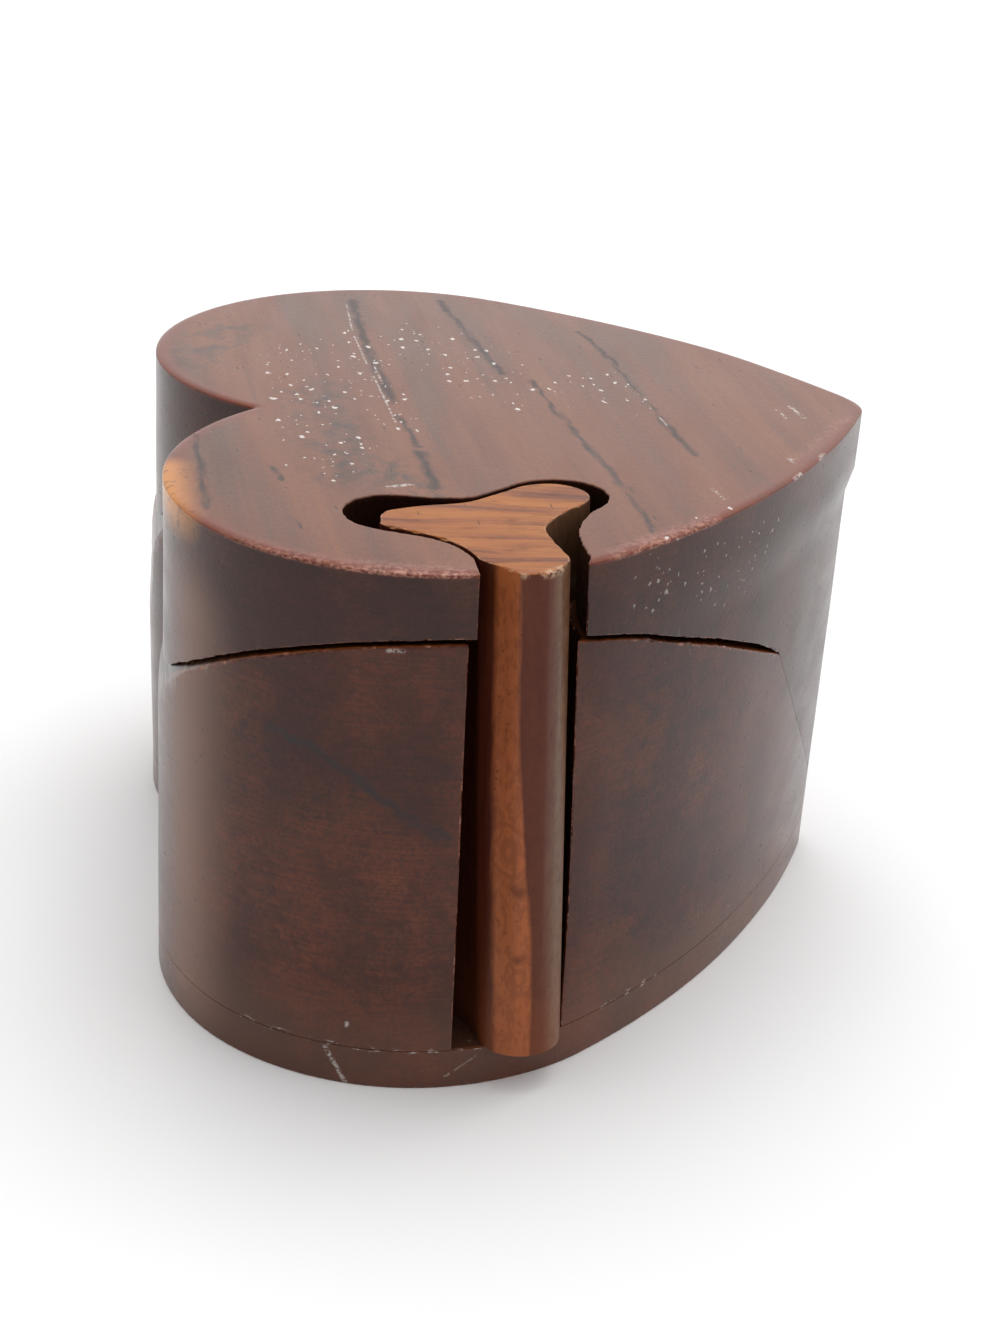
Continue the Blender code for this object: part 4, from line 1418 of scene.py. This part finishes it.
# Rubbed arrises: wear, and a painted highlight where the edges catch light
WORN_AND_HIGHLIT_RED = (0.240, 0.070, 0.035)
CHIP_PALE = (0.560, 0.270, 0.200)
PALE = (0.760, 0.700, 0.660)
SPECK = (0.150, 0.060, 0.040)
# Painted highlight colour on the lobes' sides, also laid paler towards the block's foot
SIDE_HIGHLIGHT_AND_FOOT_BROWN = (0.260, 0.130, 0.085)
KEY_COLOURS = [
    (0.0, (0.150, 0.034, 0.006)),
    (0.45, (0.310, 0.084, 0.009)),
    (1.0, (0.400, 0.130, 0.014)),
]
KEY_DARK = (0.060, 0.013, 0.007)
# The key's painted light and shade, partly grain: a shaded red flank, a lit orange facet that is also laid
# towards the foot, a shaded brown facet, and a painted reflection on the bevel
KEY_SHADED_RED = (0.040, 0.006, 0.006)
KEY_LIT_AND_FOOT_ORANGE = (0.350, 0.096, 0.034)
KEY_SHADED_BROWN = (0.070, 0.014, 0.010)
KEY_BEVEL_REFLECTION = (0.125, 0.070, 0.042)
WORN_TAN = (0.620, 0.400, 0.260)
KEY_LIGHT_AND_SHADE_FACETS = [
    (0.0, KEY_SHADED_RED),
    (0.17, KEY_SHADED_RED),
    (0.23, KEY_LIT_AND_FOOT_ORANGE),
    (0.385, KEY_LIT_AND_FOOT_ORANGE),
    (0.425, KEY_SHADED_BROWN),
    (0.71, KEY_SHADED_BROWN),
    (0.80, KEY_BEVEL_REFLECTION),
]

# The key's painted lit and shaded facets in mm: all of them across, how much the bright, painted lit one
# widens at the foot, how they smear
FACETS_WIDTH = 10.0
FACET_WIDER = 1.5
SMEAR_REACH = 0.7

# The key's grain: its turn in plan, how far it bends in mm, how it is weighed, how close its rings lie
KEY_GRAIN_TURN = radians(8)
KEY_BEND = 3.0
KEY_BANDS_SHARE = 0.75
KEY_LINES_SHARE = 0.35
KEY_RINGS_CLOSE = 13.0

# The lid's red band: how fast it ends inward and downward from the rim, and how ragged its edge is
RIM_INWARD = 0.55
RIM_DOWNWARD = 2.0
RIM_RAGGEDNESS = 1.2

# Flecks of polish: width in mm, share of places that have one, length for a width of 1
FLECK_SIZE = 1.2
FLECK_LARGER_ON_TOP = 0.9
FLECK_SHARE = 0.62
SMALL_FLECK_SIZE = 0.9
SMALL_FLECK_SHARE = 0.22
FLECK_LENGTH = 1.6

# Pore patterns: width and length in mm, and the share of places that have one
WALL_PORES = {"Width": 0.8, "Length": 9.0, "Share": 0.42}
TOP_PORES = {"Width": 0.75, "Length": 3.6, "Share": 0.16}
KEY_PORES = {"Width": 0.8, "Length": 6.0, "Share": 0.3}

FELT_DARK = (0.060, 0.004, 0.008)
FELT_MIDDLE = (0.110, 0.010, 0.016)
FELT_LIGHT = (0.230, 0.028, 0.036)
FELT_SHEEN = {"Roughness": 0.95, "Specular IOR Level": 0.2, "Sheen Weight": 0.5, "Sheen Roughness": 0.4}
FIBRE_STRENGTH = 0.8
FIBRE_HEIGHT = 0.0002

# How much painted shade darkens the upright walls, then the lacquer: gloss, shine, unevenness and relief
BODY_WALL_SHADE = 0.08
LID_WALL_SHADE = 0.45
BODY_GLOSS = 0.16
LID_GLOSS = 0.18
KEY_GLOSS = 0.26
LACQUER_SHINE = 0.32
KEY_SHINE = 0.2
SATIN_UNEVEN = 0.16
DULL_ROUGHER = 0.15
SANDING_HEIGHT = 0.07
ORANGE_PEEL_HEIGHT = 0.5
RELIEF_STRENGTH = 0.6
RELIEF_DEPTH = 0.00006


# Setting

# The camera as fitted to the box's outlines: lengths in widths of a 0.9 mm saw kerf, angles in radians,
# and the focal length in pixels of a picture that is FITTED_HEIGHT pixels high
FITTED_UNIT = 0.0009
FITTED_FOCAL = 2209.999
FITTED_HEIGHT = 1333
FITTED_DISTANCE = 292.218658
FITTED_PITCH = 0.428514043
FITTED_YAW = -0.176104060
FITTED_ROLL = 0.0494246878
FITTED_AIM_HEIGHT = 35
FITTED_ASIDE = (-0.441106113, -6.91526254)
SENSOR_WIDTH = 36

TABLE_RADIUS = 6.0
TABLE_STEPS = 64
TABLE_WHITE = (0.93, 0.93, 0.93, 1)
TABLE_ROUGHNESS = 0.7
TENT_BRIGHT_SIDE = (0.34, 0.50, 0.62)
TENT_LIGHT = {"From Min": -0.6, "From Max": 0.8, "To Min": 0.14, "To Max": 1.26}
SOFTBOX = {"at": (0.1, 0.2, 1.1), "aim": (0, 0, 0.03), "size": 0.7, "watts": 4.0}


def make_camera():
    """The camera that took the photograph, as fitted to the box's outlines."""
    pitch, yaw, roll = FITTED_PITCH, FITTED_YAW, FITTED_ROLL
    right = Vector((cos(yaw), sin(yaw), 0))
    forward = Vector((-sin(yaw) * cos(pitch), cos(yaw) * cos(pitch), -sin(pitch)))
    above = right.cross(forward)
    rolled_right = right * cos(roll) + above * sin(roll)
    rolled_up = above * cos(roll) - right * sin(roll)
    target = Vector((0, 0, FITTED_AIM_HEIGHT * FITTED_UNIT)) + DRAWN_TO_FRAME
    place_at = target - forward * (FITTED_DISTANCE * FITTED_UNIT)
    place_at += (rolled_right * FITTED_ASIDE[0] + rolled_up * FITTED_ASIDE[1]) * FITTED_UNIT
    data = bpy.data.cameras.new("photo_camera")
    data.sensor_width = SENSOR_WIDTH
    data.lens = FITTED_FOCAL / FITTED_HEIGHT * SENSOR_WIDTH
    data.clip_start = 0.01
    data.clip_end = 50
    camera = bpy.data.objects.new("photo_camera", data)
    axes = Matrix((rolled_right, rolled_up, -forward)).transposed()
    camera.matrix_world = Matrix.Translation(place_at) @ axes.to_4x4()
    bpy.context.scene.collection.objects.link(camera)
    bpy.context.scene.camera = camera


def make_floor():
    """A plain pale tabletop."""
    bm = bmesh.new()
    bmesh.ops.create_circle(bm, cap_ends=True, segments=TABLE_STEPS, radius=TABLE_RADIUS)
    floor = loose_object("floor", bm)
    made = bpy.data.materials.new("pale_table")
    made.use_nodes = True
    shader = made.node_tree.nodes["Principled BSDF"]
    shader.inputs["Base Color"].default_value = TABLE_WHITE
    shader.inputs["Roughness"].default_value = TABLE_ROUGHNESS
    floor.data.materials.append(made)


def area_light(name, at, aim, size, watts):
    """A soft square light."""
    data = bpy.data.lights.new(name, "AREA")
    data.shape = "SQUARE"
    data.size = size
    data.energy = watts
    light = bpy.data.objects.new(name, data)
    light.location = at
    light.rotation_mode = "QUATERNION"
    light.rotation_quaternion = (Vector(aim) - Vector(at)).to_track_quat("-Z", "Y")
    light.visible_camera = False
    bpy.context.scene.collection.objects.link(light)


def make_light():
    """A white tent, brighter overhead, behind and to the right, and one soft light above."""
    world = bpy.data.worlds.new("tent")
    bpy.context.scene.world = world
    world.use_nodes = True
    tree = world.node_tree
    background = tree.nodes["Background"]
    direction = node(tree, "TexCoord").outputs["Generated"]
    lean = vector_maths(tree, "DOT_PRODUCT", direction, TENT_BRIGHT_SIDE).outputs["Value"]
    glow = node(tree, "MapRange", {"Value": lean, **TENT_LIGHT}).outputs["Result"]
    seen = node(tree, "LightPath").outputs["Is Camera Ray"]
    strength = node(tree, "Mix", {"Factor": seen, "A": glow, "B": 1.0}, data_type="FLOAT")
    background.inputs["Color"].default_value = (1.0, 1.0, 1.0, 1)
    tree.links.new(strength.outputs["Result"], background.inputs["Strength"])
    area_light("top_softbox", **SOFTBOX)


# Making

bpy.context.scene.view_settings.view_transform = "Standard"
make_camera()
make_floor()
make_light()
shared = shared_groups()
block_finish = body_finish_of(shared)
nap = felt_finish()
make_base_slab(block_finish)
make_body(block_finish)
make_lid(lid_finish_of(shared))
make_key(key_finish_of(shared))
make_floor_felt(nap)
make_wall_felt(nap)
